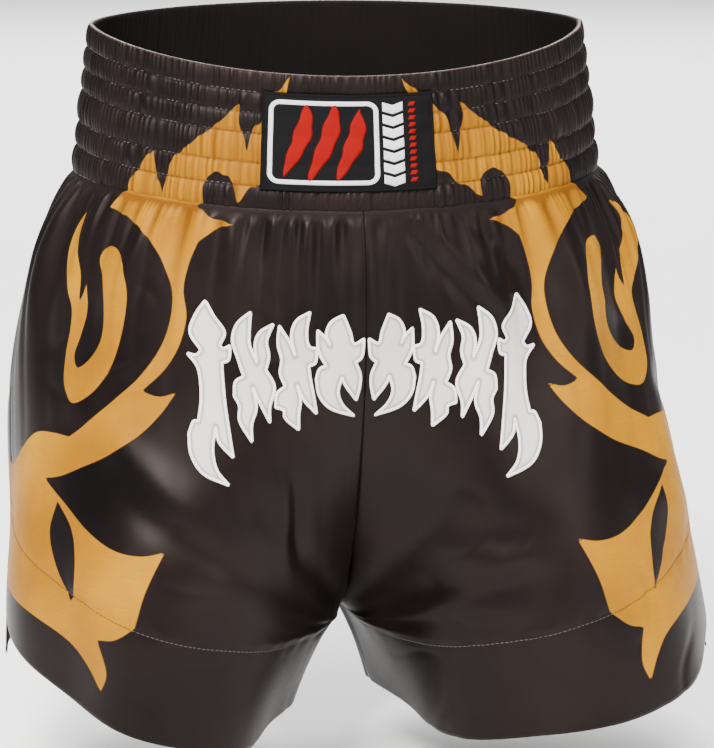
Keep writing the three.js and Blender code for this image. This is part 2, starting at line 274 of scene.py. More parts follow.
@dataclass(frozen=True)
class Garment:
    """The shorts' middle surface, without gathers and folds, in mm.

    Attributes:
        rim, seam: The band's edges: half width, half depth, dip in front and rise behind.
        channels: Heights of the elastics' channels, from the rim down.
        flare: How far the hips stand out past the waist seam at the side, front and back.
        flare_over: The drop over which they do so.
        flare_per_mm: How far the cloth goes on outwards with each mm of drop.
        rise, inseam: From the waist seam down to the fork, and from there to the hem.
        hem_rise: How much higher the hem is at the side than at the inseam.
        leg_gap: Room between the hems at the inseam.
        leg_forward, crotch_back: How far the legs hang forward and the fork lies back.
        fork: Where the fork starts and ends down the panel, and how it eases in.
        tuck: Depth of the panel's edge inside the casing.
        girth: Girth from the centre seam to the side seam.
    """

    rim: tuple[float, float, float, float] = (152, 100, 24, 5)
    seam: tuple[float, float, float, float] = (163, 112, 14, 5)
    channels: tuple[float, ...] = (13.5, 13.5, 13, 19.5, 14.5, 16)
    flare: dict[str, float] = field(default_factory=lambda: {"side": 32, "front": 12, "back": 14})
    flare_over: float = 42
    flare_per_mm: dict[str, float] = field(
        default_factory=lambda: {"side": 0.08, "front": 0.02, "back": 0.01}
    )
    rise: float = 279
    inseam: float = 59
    hem_rise: dict[str, float] = field(default_factory=lambda: {"front": 76, "back": 36})
    leg_gap: float = 52
    leg_forward: float = 22
    crotch_back: float = 14
    fork: tuple[float, float, float] = (0.22, 0.8, 1.6)
    tuck: float = 8
    girth: float = 230

    @property
    def band(self) -> float:
        """Height of the waistband."""
        return sum(self.channels)

    @property
    def front_drop(self) -> float:
        """Drop of the hem at the inseam, below the waist seam's level at the sides."""
        return self.rise + self.inseam

    def edge_height(self, edge: tuple[float, ...], angle: Array) -> Array:
        """Height of the rim or the seam over its level at the sides: a dip of the cosine to
        the power 1.5 in front, and a rise of the same kind behind."""
        c = np.cos(angle)
        return np.where(c > 0, -edge[2] * np.abs(c) ** 1.5, edge[3] * np.abs(c) ** 1.5)

    def band_point(self, angle: Array, drop: Array) -> Array:
        """Ellipses that grow in a straight line from the rim down to the waist seam.

        Args:
            angle, drop: Place round and down the band.

        Returns:
            The points.
        """
        t = drop / self.band
        return np.stack(
            [
                mix(self.rim[0], self.seam[0], t) * np.sin(angle),
                -mix(self.rim[1], self.seam[1], t) * np.cos(angle),
                mix(self.edge_height(self.rim, angle), self.edge_height(self.seam, angle), t)
                - drop,
            ],
            -1,
        )

    def girth_at(self, angle: Array) -> Array:
        """Girth from the centre front at an angle of 0 to 2 PI, negative past the back."""
        return np.where(angle > np.pi, angle - 2 * np.pi, angle) / (np.pi / 2) * self.girth

    def band_normal(self, angle: Array, drop: Array) -> Array:
        """Outward normal of the waistband, by central differences.

        Args:
            angle, drop: Place round and down the band.

        Returns:
            The normals.
        """
        step = 1e-3
        around = self.band_point(angle + step, drop) - self.band_point(angle - step, drop)
        down = self.band_point(angle, drop + step) - self.band_point(angle, drop - step)
        return unit(np.cross(down, around))

    def hem_drop(self, u: Array, half: Half) -> Array:
        """Drop of the hem from the inseam (u 0), where it is lowest, to the side (u 1).

        Args:
            u: Place across the panel, from its centre seam (0) to its side seam (1).
            half: Front or back.

        Returns:
            The drop at each place.
        """
        if half is Half.BACK:
            rise = smooth(0, 0.8, u)
        else:
            rise = clamp01((u - 0.3) / 0.7) ** 1.5
        return self.front_drop - self.hem_rise[half.word] * rise

    def waist_angle(self, u: Array, half: Half) -> Array:
        """Angle round the waist where a line of constant u meets the waist seam."""
        return (u if half is Half.FRONT else 2 - u) * np.pi / 2

    def length(self, u: Array, half: Half) -> Array:
        """Length of the panel from the waist seam to the hem."""
        return self.hem_drop(u, half) + self.edge_height(self.seam, self.waist_angle(u, half))

    def body_point(self, half: Half, u: Array, v: Array) -> Array:
        """A point of the left side's front or back panel, v from the waist seam (0) to the hem.

        Each row is an arc of an ellipse that ends at the side seam. On the hips it starts a
        quarter turn away at the centre seam, and down the fork the start swings in under the
        body, so that round the leg the row is half a turn.

        Args:
            half: Front or back.
            u, v: Place across and down the panel, from 0 to 1.

        Returns:
            The points.
        """
        f0, f1, ease = self.fork
        swing = clamp01((v - f0) / (f1 - f0)) ** ease * np.pi / 2
        angle = self.waist_angle(u, half)
        opened = self.edge_height(self.seam, angle) * (1 - v) - self.hem_drop(u, half) * v
        top = self.edge_height(self.seam, np.array(0.0 if half is Half.FRONT else np.pi))
        fork_top = top * (1 - f0) - self.front_drop * f0
        leg = mix(-self.rise, -self.front_drop, (v - f1) / (1 - f1))
        seam = np.where(v >= f1, leg, mix(fork_top, -self.rise, np.sin(swing)))
        seam = np.where(v < f0, top * (1 - v) - self.front_drop * v, seam)
        drop = -mix(opened, seam, (1 - smooth(0, 0.45, u)) * smooth(0, f0, v))

        hip = 1 - np.exp(-np.maximum(0, drop) / self.flare_over)
        width = self.seam[0] + self.flare["side"] * hip + self.flare_per_mm["side"] * drop
        deep = self.flare[half.word] * hip + self.flare_per_mm[half.word] * drop
        depth = self.seam[1] + deep
        inner = self.leg_gap / 2 * clamp01((v - f1) / (1 - f1)) ** 0.8
        start = np.pi / 2 - swing
        turn = mix(start, np.pi, u)
        radius = (width - inner) / (1 + np.cos(start))
        x = width - radius * (1 + np.cos(turn))
        y = half.value * depth * np.sin(turn)
        level = clamp01(drop / self.front_drop)
        away = smooth(0, 0.5, u)
        y = y + self.crotch_back * level**3 * (1 - away)
        y = y - self.leg_forward * smooth(0, 1, level) * away
        return np.stack([x, y, -self.band - drop], -1)

    def panel_point(self, half: Half, u: Array, v: Array) -> Array:
        """The body below the waist seam, and the tucked-in edge above it."""
        below = self.body_point(half, u, np.maximum(v, 0))
        above = self.band_point(self.waist_angle(u, half), self.band * (1 + np.minimum(v, 0)))
        return np.where((v < 0)[..., None], above, below)

    def panel_normal(self, half: Half, u: Array, v: Array) -> Array:
        """Normal away from the wearer, by central differences.

        Args:
            half: Front or back.
            u, v: Place across and down the panel, from 0 to 1.

        Returns:
            The normals.
        """
        step = 6e-3
        a, b = np.clip(u, 0.015, 0.985), np.clip(v, -0.04, 0.985)
        across = self.panel_point(half, a + step, b) - self.panel_point(half, a - step, b)
        down = self.panel_point(half, a, b + step) - self.panel_point(half, a, b - step)
        return unit(np.cross(down, across)) * (1 if half is Half.FRONT else -1)


@dataclass(frozen=True)
class Gather:
    """One size of gather under the waist seam: crests that die out down the cloth, and the painted
    shade in the valleys between them.

    Attributes:
        noise: Its waves round the waist.
        height: Height of its crests in mm.
        fade: The fall over which they die out.
        grows: The falls at which they start and are fully there.
        level, take: The painted shade in the valleys is the level less this share of the crests.
        hollow_fade: The fall over which the painted shade dies out.
        hollow_share: How dark the painted shade is.
    """

    noise: RingNoise
    height: float
    fade: float
    grows: tuple[float, float]
    level: float
    take: float
    hollow_fade: float
    hollow_share: float = 1

    def crest(self, angle: Array, fall: Array) -> Array:
        """The gathers' height."""
        shape = self.height * self.noise.crests(angle) * np.exp(-fall / self.fade)
        return shape * smooth(*self.grows, fall)

    def hollow(self, angle: Array, fall: Array) -> Array:
        """How far a place lies in a valley: painted shade for the print's colour."""
        deep = clamp01(self.level - self.take * self.noise.crests(angle))
        return self.hollow_share * (deep * np.exp(-fall / self.hollow_fade))


@dataclass(frozen=True)
class Drape:
    """What the cloth does on the garment's surface: gathers, pleats, folds and a slight lean
    of the legs to one side, in mm.

    Attributes:
        garment: The surface that it lies on.
        ribs, pleats, tucks: Gathers from fine to broad.
        waves: Broad waves that run on down the legs.
        swell, crease, patches: Broad swells, crease lines, and where those lines lie.
        folds: Single folds on the front.
        strip: Half width of the lap at the centre front.
        seam_shadow: Half width of the painted shadow line at the waist seam.
        hem_row: Height of the hem's stitches over the hem.
        side_seam: Girth over which the side seam's groove is measured.
        side_groove, centre_groove, row_groove: Depths of the seams and the hem's row.
        lean: How far both legs lean to the wearer's right at the hem.
        corner_out, corner_down: How far the corner on the wearer's left hangs out and down.
    """

    garment: Garment = field(default_factory=Garment)
    ribs: Gather = Gather(RingNoise(96, 26, 3), 0.9, 11, (-2, -1), 0.4, 0.6, 9)
    pleats: Gather = Gather(RingNoise(34, 12, 8), 2.1, 34, (0, 9), 0.2, 0.9, 38)
    tucks: Gather = Gather(RingNoise(19, 7, 15), 1.8, 62, (5, 25), 0.1, 0.9, 70, 0.7)
    waves: RingNoise = RingNoise(13, 5, 21)
    swell: SpaceNoise = SpaceNoise(120, 5)
    crease: SpaceNoise = SpaceNoise(75, 12)
    patches: SpaceNoise = SpaceNoise(110, 31)
    folds: tuple[Fold, ...] = ()
    strip: float = 7.0
    seam_shadow: float = 2.6
    hem_row: float = 60.6
    side_seam: float = 270
    side_groove: float = 0.9
    centre_groove: float = 0.35
    row_groove: float = 0.35
    lean: float = 5
    corner_out: float = 7
    corner_down: float = 13

    def sway(self, p: Array) -> Array:
        """Lets the wearer's left leg stand out and the right one hang in, growing with the
        square of the drop.

        Args:
            p: Points in space.

        Returns:
            The moved points.
        """
        t = clamp01((-self.garment.band - p[..., 2]) / self.garment.front_drop) ** 2
        scale = np.where(p[..., 0] > 0, 1 + 0.1 * t, 1 - 0.055 * t)
        out = p.copy()
        out[..., 0] = p[..., 0] * scale - self.lean * t
        drop = -self.garment.band - p[..., 2]
        corner = smooth(120, 215, out[..., 0]) * smooth(205, 300, drop)
        out[..., 0] += self.corner_out * corner
        out[..., 2] -= self.corner_down * corner
        return out

    def valley(self, angle: Array, fall: Array) -> Array:
        """Painted shade for the print's colour, from 0 to 1: how far the cloth lies in the bottom
        of a gather or a pleat, with a line along the waist seam.
        """
        gathers = (self.ribs, self.pleats, self.tucks)
        deep = sum(gather.hollow(angle, fall) for gather in gathers)
        return clamp01(np.where(fall < 0, 0, deep + bell(fall, self.seam_shadow)))

    def relief(self, side: Side, half: Half, u: Array, v: Array, p: Array) -> Array:
        """Height of the cloth over the smooth surface, in mm.

        Args:
            side, half: Which panel.
            u, v: Place across and down the panel, from 0 to 1.
            p: Points in space.

        Returns:
            The height at each place.
        """
        g = self.garment
        angle = side.value * g.waist_angle(u, half)
        fall = v * g.length(u, half)
        start = smooth(-0.5, 5.5, fall)
        height = self.ribs.crest(angle, fall)
        height += self.pleats.crest(angle, fall)
        height += self.tucks.crest(angle, fall)
        height += 2.6 * self.waves(angle) * smooth(4, 50, fall) * np.exp(-((fall / 120) ** 2))
        height += 1.5 * self.swell(p) * smooth(20, 110, fall)
        lines = bell(self.crease(p), 0.3) * clamp01(self.patches(p) + 0.1)
        height -= 0.55 * lines * smooth(15, 80, fall)
        height += 2.2 * self.waves(angle + 1.3) * smooth(170, 330, fall)
        if half is Half.FRONT:
            girth = side.value * u * g.girth
            for fold in self.folds:
                height += fold.relief(girth, fall)
            lap = smooth(-1, 1, self.strip - np.abs(p[..., 0]))
            height += 0.8 * lap * (1 - smooth(90, 200, fall))
        from_side = (1 - u) * self.side_seam
        height -= self.side_groove * bell(from_side, 1.6) * (1 - smooth(0.97, 1, v))
        height -= self.centre_groove * bell(np.abs(p[..., 0]), 1.0) * (v < g.fork[1])
        row = (1 - v) * g.length(u, half) - self.hem_row
        height -= self.row_groove * bell(row, 1.6)
        height += 0.22 * self.ribs.noise(angle) * bell(row, 7)
        return height * start

    def on_panel(self, side: Side, half: Half, u: Array, v: Array, offset: Array) -> Array:
        """Points over the draped cloth, an offset from its middle.

        Args:
            side, half: Which panel.
            u, v: Place across and down the panel, from 0 to 1.
            offset: Distance proud of the surface.

        Returns:
            The points.
        """
        g = self.garment
        p = g.panel_point(half, u, v)
        n = g.panel_normal(half, u, v)
        p[..., 0] *= side.value
        n[..., 0] *= side.value
        q = p + n * (self.relief(side, half, u, v, p) + offset)[..., None]
        at_seam = 1 - smooth(0, 0.02, u)
        q[..., 0] = mix(q[..., 0], p[..., 0], at_seam)
        q[..., 0] = side.value * np.maximum(side.value * q[..., 0], 0)
        return self.sway(q)

    def place(self, x: Array, z: Array) -> tuple[Array, Array]:
        """The place (u, v) on the front panel whose point lies at x and z, by Newton steps.

        Args:
            x, z: Places across and up.

        Returns:
            u and v of each place.
        """
        g = self.garment
        u, v = np.full(x.shape, 0.3), np.full(x.shape, 0.3)
        step = 4e-3
        for _ in range(16):
            here = g.panel_point(Half.FRONT, u, v)
            du = (g.panel_point(Half.FRONT, u + step, v) - here) / step
            dv = (g.panel_point(Half.FRONT, u, v + step) - here) / step
            det = du[..., 0] * dv[..., 2] - dv[..., 0] * du[..., 2]
            ex, ez = x - here[..., 0], z - here[..., 2]
            u = np.clip(u + (ex * dv[..., 2] - ez * dv[..., 0]) / det, 0.002, 0.95)
            v = np.clip(v + (ez * du[..., 0] - ex * du[..., 2]) / det, 0.01, 0.95)
        return u, v


# ---------------------------------------------------------------- meshes


def faces_of_grid(rows: int, columns: int, closed: bool) -> Array:
    """Quads of a grid of points, its columns joined end to end if it is closed.

    Args:
        rows, columns: Size of the grid.
        closed: Whether the columns close on themselves.

    Returns:
        Four point numbers for each quad.
    """
    i = np.arange(rows - 1)[:, None]
    j = np.arange(columns if closed else columns - 1)[None, :]
    k = (j + 1) % columns
    quads = [i * columns + j, i * columns + k, (i + 1) * columns + k, (i + 1) * columns + j]
    return np.stack(np.broadcast_arrays(*quads), -1).reshape(-1, 4)


def rim_of_grid(rows: int, columns: int) -> Array:
    """The point numbers round an open grid's edge, in order.

    Args:
        rows, columns: Size of the grid.

    Returns:
        The numbers.
    """
    top = np.arange(columns)
    right = np.arange(1, rows) * columns + columns - 1
    bottom = (rows - 1) * columns + np.arange(columns - 2, -1, -1)
    left = np.arange(rows - 2, 0, -1) * columns
    return np.concatenate([top, right, bottom, left])


@dataclass
class Cloth:
    """A mesh in the making.

    Attributes:
        points: The points in mm.
        faces: Point numbers of each face.
        uv: A place on the flat cloth for each point, in metres.
        marks: Numbers that the points carry for their materials.
        slots: The material slot of each face.
    """

    points: Array
    faces: Array
    uv: Array | None = None
    marks: dict[str, Array] = field(default_factory=dict)
    slots: Array | None = None

    @classmethod
    def grid(cls, points: Array, closed: bool = False, uv: Array | None = None) -> "Cloth":
        """One layer over a grid of points, rows first."""
        rows, columns = points.shape[:2]
        flat_uv = None if uv is None else uv.reshape(-1, 2)
        return cls(points.reshape(-1, 3), faces_of_grid(rows, columns, closed), flat_uv)

    @classmethod
    def shell(cls, outer: Array, inner: Array, uv: Array | None = None) -> "Cloth":
        """Two layers over one grid, joined round the edge. The inner layer is in slot 1.

        Args:
            outer, inner: The two layers.
            uv: A place on the flat cloth for each point.

        Returns:
            The mesh.
        """
        rows, columns = outer.shape[:2]
        count = rows * columns
        face = faces_of_grid(rows, columns, False)
        rim = rim_of_grid(rows, columns)
        after = np.roll(rim, -1)
        wall = np.stack([after, rim, rim + count, after + count], -1)
        faces = np.vstack([face, face[:, ::-1] + count, wall])
        slots = np.concatenate(
            [np.zeros(len(face), int), np.ones(len(face), int), np.zeros(len(wall), int)]
        )
        points = np.vstack([outer.reshape(-1, 3), inner.reshape(-1, 3)])
        both = None if uv is None else np.vstack([uv.reshape(-1, 2)] * 2)
        return cls(points, faces, both, {}, slots)

    @classmethod
    def plate(cls, upper: Array, lower: Array, faces: Array, uv: Array) -> "Cloth":
        """Two layers over one set of triangles, with a wall along the edges used just once.

        Args:
            upper, lower: The two layers.
            faces: The triangles.
            uv: A place on the flat cloth for each point.

        Returns:
            The mesh.
        """
        count = len(upper)
        edges = np.vstack([faces[:, [0, 1]], faces[:, [1, 2]], faces[:, [2, 0]]])
        key = np.sort(edges, axis=1) @ (count, 1)
        _, first, times = np.unique(key, return_index=True, return_counts=True)
        rim = edges[first[times == 1]]
        a, b = rim[:, 0], rim[:, 1]
        wall = np.vstack(
            [np.stack([b, a, a + count], -1), np.stack([b, a + count, b + count], -1)]
        )
        whole = np.vstack([faces, faces[:, ::-1] + count, wall])
        return cls(np.vstack([upper, lower]), whole, np.vstack([uv, uv])).filled_out()

    @classmethod
    def joined(cls, parts: Sequence["Cloth"]) -> "Cloth":
        """Several meshes in one, none of which carries marks.

        Args:
            parts: The meshes.

        Returns:
            The mesh.
        """
        starts = np.cumsum([0] + [len(part.points) for part in parts[:-1]])
        uv = None
        if all(part.uv is not None for part in parts):
            uv = np.vstack([part.uv for part in parts])
        return cls(
            np.vstack([part.points for part in parts]),
            np.vstack([part.faces + start for part, start in zip(parts, starts)]),
            uv,
        )

    def turned(self, outward: Array) -> "Cloth":
        """The same mesh with its faces turned round if they look against outward.

        Args:
            outward: A direction at each point that its faces should look along.

        Returns:
            This mesh.
        """
        p = self.points[self.faces]
        normal = np.cross(p[:, 1] - p[:, 0], p[:, 2] - p[:, 0])
        way = outward[self.faces].mean(1)
        if (normal * way).sum() < 0:
            self.faces = self.faces[:, ::-1].copy()
        return self

    def filled_out(self) -> "Cloth":
        """A closed mesh with its faces turned to look outwards, by its signed volume.

        Returns:
            This mesh.
        """
        p = self.points[self.faces] - self.points.mean(0)
        corners = range(2, self.faces.shape[1])
        volume = sum((p[:, 0] * np.cross(p[:, i - 1], p[:, i])).sum() for i in corners)
        if volume < 0:
            self.faces = self.faces[:, ::-1].copy()
        return self

    def object(self, name: str, *materials: bpy.types.Material) -> bpy.types.Object:
        """The finished object, at the origin and in metres, smooth and dressed.

        Args:
            name: The name that it gets.
            materials: Materials, by slot.

        Returns:
            The object.
        """
        mesh = bpy.data.meshes.new(name)
        mesh.vertices.add(len(self.points))
        mesh.vertices.foreach_set("co", (self.points * MM).astype(np.float32).ravel())
        mesh.loops.add(self.faces.size)
        mesh.loops.foreach_set("vertex_index", self.faces.astype(np.int32).ravel())
        mesh.polygons.add(len(self.faces))
        starts = np.arange(0, self.faces.size, self.faces.shape[1], dtype=np.int32)
        mesh.polygons.foreach_set("loop_start", starts)
        mesh.polygons.foreach_set("use_smooth", np.ones(len(self.faces), bool))
        if self.uv is not None:
            layer = mesh.uv_layers.new(name="cloth")
            layer.data.foreach_set("uv", self.uv[self.faces.ravel()].astype(np.float32).ravel())
        for mark, values in self.marks.items():
            attribute = mesh.attributes.new(mark, "FLOAT", "POINT")
            attribute.data.foreach_set("value", values.astype(np.float32).ravel())
        for material in materials:
            mesh.materials.append(material)
        if self.slots is not None and len(materials) > 1:
            mesh.polygons.foreach_set("material_index", self.slots.astype(np.int32))
        mesh.update(calc_edges=True)
        mesh.validate()
        made = bpy.data.objects.new(name, mesh)
        bpy.context.scene.collection.objects.link(made)
        return made


def area_of(made: bpy.types.Object) -> float:
    """Area of a mesh in square metres."""
    areas = np.zeros(len(made.data.polygons), np.float32)
    made.data.polygons.foreach_get("area", areas)
    return float(areas.sum())


def declare(piece: bpy.types.Object, slot: str, *nodes: str) -> bpy.types.Object:
    """Puts a piece on the one body, in the place of CAD nodes, which it hides.

    Args:
        piece: The finished object.
        slot: A material slot's name; not used.
        nodes: The CAD nodes that it replaces, if any.

    Returns:
        The same object.
    """
    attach(piece, BODY)
    if nodes:
        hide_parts(*nodes)
    return piece


def beads(
    centre: Array, along: Array, normal: Array, length: float, width: float, height: float
) -> Cloth:
    """One low bead for each centre, such as the stitches of a row: an ellipsoid of six-sided
    rings that lies along its thread.

    Args:
        centre: Middle of each bead.
        along: Direction of each bead.
        normal: The way up at each bead.
        length, width, height: Its sizes.

    Returns:
        All the beads in one mesh.
    """
    rings, sides = 5, 6
    t = np.linspace(-1, 1, rings)
    around = np.arange(sides) / sides * 2 * np.pi
    swell = np.sqrt(np.maximum(1 - (t * 0.97) ** 4, 0.0))[:, None]
    lie = unit(along)
    over = unit(np.cross(normal, lie))
    up = np.cross(lie, over)
    local = np.stack(
        [
            np.broadcast_to(t[:, None] * length / 2, (rings, sides)),
            swell * np.cos(around) * width / 2,
            swell * np.sin(around) * height / 2,
        ],
        -1,
    )
    axes = np.stack([lie, over, up], 1)
    points = centre[:, None, None, :] + np.einsum("rsk,nkx->nrsx", local, axes)
    faces = faces_of_grid(rings, sides, True)
    ends = np.array([[0, 1, 2, 3], [0, 3, 4, 5]])
    ends = np.vstack([ends[:, ::-1], ends + (rings - 1) * sides])
    faces = np.vstack([faces, ends])
    starts = np.arange(len(centre)) * rings * sides
    whole = (faces[None] + starts[:, None, None]).reshape(-1, 4)
    one_uv = np.stack(np.meshgrid(around, t, indexing="xy"), -1)
    uv = np.broadcast_to(one_uv, points.shape[:-1] + (2,))
    return Cloth(points.reshape(-1, 3), whole, uv.reshape(-1, 2)).filled_out()


# ---------------------------------------------------------------- shader maths


class Socket:
    """A node's output socket whose operators add Math nodes to the same tree."""

    def __init__(self, graph: "Graph", out: bpy.types.NodeSocket) -> None:
        """Wraps out, a socket of graph's tree."""
        self.graph = graph
        self.out = out

    def _math(self, operation: str, *values: object) -> "Socket":
        """A Math node of that operation on the values."""
        return self.graph.add("ShaderNodeMath", {"operation": operation}, *values)

    def __add__(self, other: object) -> "Socket":
        """self + other."""
        return self._math("ADD", self, other)

    def __sub__(self, other: object) -> "Socket":
        """self - other."""
        return self._math("SUBTRACT", self, other)

    def __rsub__(self, other: object) -> "Socket":
        """other - self."""
        return self._math("SUBTRACT", other, self)

    def __mul__(self, other: object) -> "Socket":
        """self * other."""
        return self._math("MULTIPLY", self, other)

    def __pow__(self, other: object) -> "Socket":
        """self to the power other."""
        return self._math("POWER", self, other)

    __radd__ = __add__
    __rmul__ = __mul__

    def clamped(self) -> "Socket":
        """self held between 0 and 1."""
        return self.graph.add("ShaderNodeClamp", {}, self)

    def sine(self) -> "Socket":
        """The sine of self."""
        return self._math("SINE", self)


Colour = tuple[float, float, float]


class Graph:
    """A material's node tree, with one method that makes every node."""

    def __init__(self, name: str) -> None:
        """Starts an empty material of that name.

        Args:
            name: The name that it gets.
        """
        self.material = bpy.data.materials.new(name)
        self.material.use_nodes = True
        self.tree = self.material.node_tree
        self.tree.nodes.clear()

    def _put(self, socket: bpy.types.NodeSocket, value: object) -> None:
        """Links or sets one input.

        Args:
            socket: The input.
            value: A socket, a colour or a number.
        """
        if isinstance(value, Socket):
            self.tree.links.new(value.out, socket)
        elif isinstance(value, tuple) and socket.type == "RGBA":
            socket.default_value = (*value, 1.0)
        else:
            socket.default_value = value

    def add(
        self,
        kind: str,
        settings: dict[str, object],
        *inputs: object,
        out: int | str = 0,
        **named: object,
    ) -> Socket:
        """Makes a node.

        Args:
            kind: The node's type.
            settings: Its properties, set before its sockets.
            inputs: Values or sockets for its inputs, in order.
            out: The output that is returned.
            named: Values for inputs by name, with underscores for spaces.

        Returns:
            The output, or the first one.
        """
        node = self.tree.nodes.new(kind)
        for key, value in settings.items():
            setattr(node, key, value)
        for socket, value in zip(node.inputs, inputs):
            self._put(socket, value)
        for key, value in named.items():
            self._put(node.inputs[key.replace("_", " ")], value)
        return Socket(self, node.outputs[out]) if len(node.outputs) else Socket(self, None)

    def place(self) -> Socket:
        """Object coordinates, in metres."""
        return self.add("ShaderNodeTexCoord", {}, out="Object")

    def cloth(self) -> Socket:
        """The piece's own UV map, in metres of cloth."""
        return self.add("ShaderNodeUVMap", {"uv_map": "cloth"})

    def mark(self, name: str) -> Socket:
        """A number that each point carries."""
        return self.add("ShaderNodeAttribute", {"attribute_name": name}, out="Fac")

    def scaled(self, vector: Socket, x: float, y: float, z: float) -> Socket:
        """A vector times one number for each axis."""
        return self.add("ShaderNodeVectorMath", {"operation": "MULTIPLY"}, vector, (x, y, z))

    def noise(self, vector: Socket, scale: float, detail: float = 3) -> Socket:
        """Noise from 0 to 1."""
        return self.add("ShaderNodeTexNoise", {}, Vector=vector, Scale=scale, Detail=detail)

    def blend(self, factor: Socket, a: object, b: object) -> Socket:
        """Colour a at factor 0 and colour b at factor 1.

        Args:
            factor: The factor.
            a, b: The colours at factor 0 and at factor 1.

        Returns:
            The blended colour.
        """
        node = self.tree.nodes.new("ShaderNodeMix")
        node.data_type = "RGBA"
        self._put(node.inputs[0], factor)
        self._put(node.inputs[6], a)
        self._put(node.inputs[7], b)
        return Socket(self, node.outputs[2])

    def split(self, vector: Socket, axis: str) -> Socket:
        """One coordinate of a vector."""
        return self.add("ShaderNodeSeparateXYZ", {}, vector, out=axis)

    def bump(self, height: Socket, distance: float, strength: float = 1.0) -> Socket:
        """A normal from a height of 0 to 1, with its full height in metres."""
        return self.add(
            "ShaderNodeBump", {}, Strength=strength, Distance=distance, Height=height
        )

    def finish(self, **sockets: object) -> bpy.types.Material:
        """Ends the tree in a Principled shader with these inputs."""
        shader = self.add("ShaderNodeBsdfPrincipled", {}, **sockets)
        self.add("ShaderNodeOutputMaterial", {}, shader)
        return self.material


# ---------------------------------------------------------------- finishes


@dataclass(frozen=True)
class Satin:
    """Woven polyester satin, plain or printed.

    Attributes:
        name: The material's name.
        deep, warm: The two dyes' shades that it wanders between.
        print_deep, print_lit: Shades of the print, where there is one.
        print_valley: The print's painted shade in the valleys of the gathers and along the seams.
        roughness: Roughness of the floats.
        sheen: Weight of the soft light at grazing angles.
        tint, gloss: Colour and strength of its shine.
        printed: Whether the cloth carries the print's distance.
        edge, flame_edge_shadow: Whether it carries a painted highlight, a lighter brown line along
            the
        rim fold; and whether it carries a painted shadow, a grey line just inside a flame's satin
        stitch.
    """

    name: str
    deep: Colour
    warm: Colour
    print_deep: Colour = (0.5, 0.2, 0.02)
    print_lit: Colour = (0.8, 0.42, 0.04)
    print_valley: Colour = (0.085, 0.026, 0.0)
    roughness: float = 0.4
    sheen: float = 0.01
    tint: Colour = (1.0, 0.84, 0.78)
    gloss: float = 0.11
    printed: bool = False
    edge: bool = False
    flame_edge_shadow: bool = False

    def material(self) -> bpy.types.Material:
        """Fine floats down the cloth, a faint slub across it, and soft clouds in the dye.

        Returns:
            The material.
        """
        g = Graph(self.name)
        place, cloth = g.place(), g.cloth()
        clouds = g.noise(place, 14, 4)
        floats = g.noise(g.scaled(cloth, 2600, 260, 1), 1, 2)
        slub = g.noise(g.scaled(cloth, 90, 900, 1), 1, 3)
        colour = g.blend(((clouds - 0.3) * 2.2).clamped(), self.deep, self.warm)
        roughness = self.roughness + (slub - 0.5) * 0.12 + (clouds - 0.5) * 0.08
        if self.printed:
            mask = (g.mark("print") * 2.2 + 0.5).clamped()
            ink = g.blend(((clouds - 0.35) * 2.4).clamped(), self.print_deep, self.print_lit)
            ink = g.blend(((slub - 0.45) * 1.2).clamped(), ink, self.print_deep)
            # Painted shade: the print darkens to deep brown in the valleys of the gathers, along
            # the waist seam and along the band's rows, and the cloth grows rougher there.
            ink = g.blend((g.mark("valley") * 0.85).clamped(), ink, self.print_valley)
            colour = g.blend(mask, colour, ink)
            roughness = roughness + mask * 0.1 + g.mark("valley") * 0.3
        # Painted highlight: a lighter brown line along the rim fold, broken up by the slub.
        if self.edge:
            rim_highlight = (g.mark("fold") * (0.25 + slub * 0.4)).clamped()
            colour = g.blend(rim_highlight, colour, (0.12, 0.055, 0.028))
        # Painted shadow: a grey line just inside a flame's satin stitch.
        if self.flame_edge_shadow:
            colour = g.blend((g.mark("seam") * 0.75).clamped(), colour, (0.12, 0.1, 0.1))
        height = floats * 0.6 + slub * 0.4
        return g.finish(
            Base_Color=colour,
            Roughness=roughness.clamped(),
            Normal=g.bump(height, 0.00012, 0.45),
            Sheen_Weight=self.sheen,
            Sheen_Roughness=0.35,
            Sheen_Tint=(0.8, 0.62, 0.55),
            Specular_Tint=self.tint,
            Specular_IOR_Level=self.gloss,
        )


@dataclass(frozen=True)
class Thread:
    """Twisted sewing or embroidery thread.

    Attributes:
        name: The material's name.
        shade, light: The thread's colour in its grooves, darker as painted shade, and on its
            crowns,
        lighter as a painted highlight.
        pitch: Ridges in a metre along the piece.
        roughness: Its roughness.
        on_print: The thread's colour where it crosses the print.
    """

    name: str
    shade: Colour
    light: Colour
    pitch: float = 2000
    roughness: float = 0.5
    on_print: Colour | None = None

    def material(self) -> bpy.types.Material:
        """Ridges across the piece with grooves between them, each a little different. The colour
        follows
        them: painted shade in the grooves and a painted highlight on the ridges, under a random
        tone.

        Returns:
            The material.
        """
        g = Graph(self.name)
        cloth, place = g.cloth(), g.place()
        along = g.split(cloth, "X")
        stray = g.noise(place, 700, 2)
        ridge = ((along * (2 * math.pi * self.pitch) + stray * 3).sine() * 0.5 + 0.5) ** 0.7
        tone = g.noise(place, 160, 2)
        # Painted shade in the grooves and painted highlight on the ridges, under a random tone.
        colour = g.blend((ridge * 0.7 + tone * 0.4).clamped(), self.shade, self.light)
        if self.on_print:
            colour = g.blend((g.mark("print") + 0.5).clamped(), colour, self.on_print)
        return g.finish(
            Base_Color=colour,
            Roughness=(self.roughness + (tone - 0.5) * 0.2).clamped(),
            Normal=g.bump(ridge, 0.00025, 0.7),
            Specular_IOR_Level=0.3,
        )


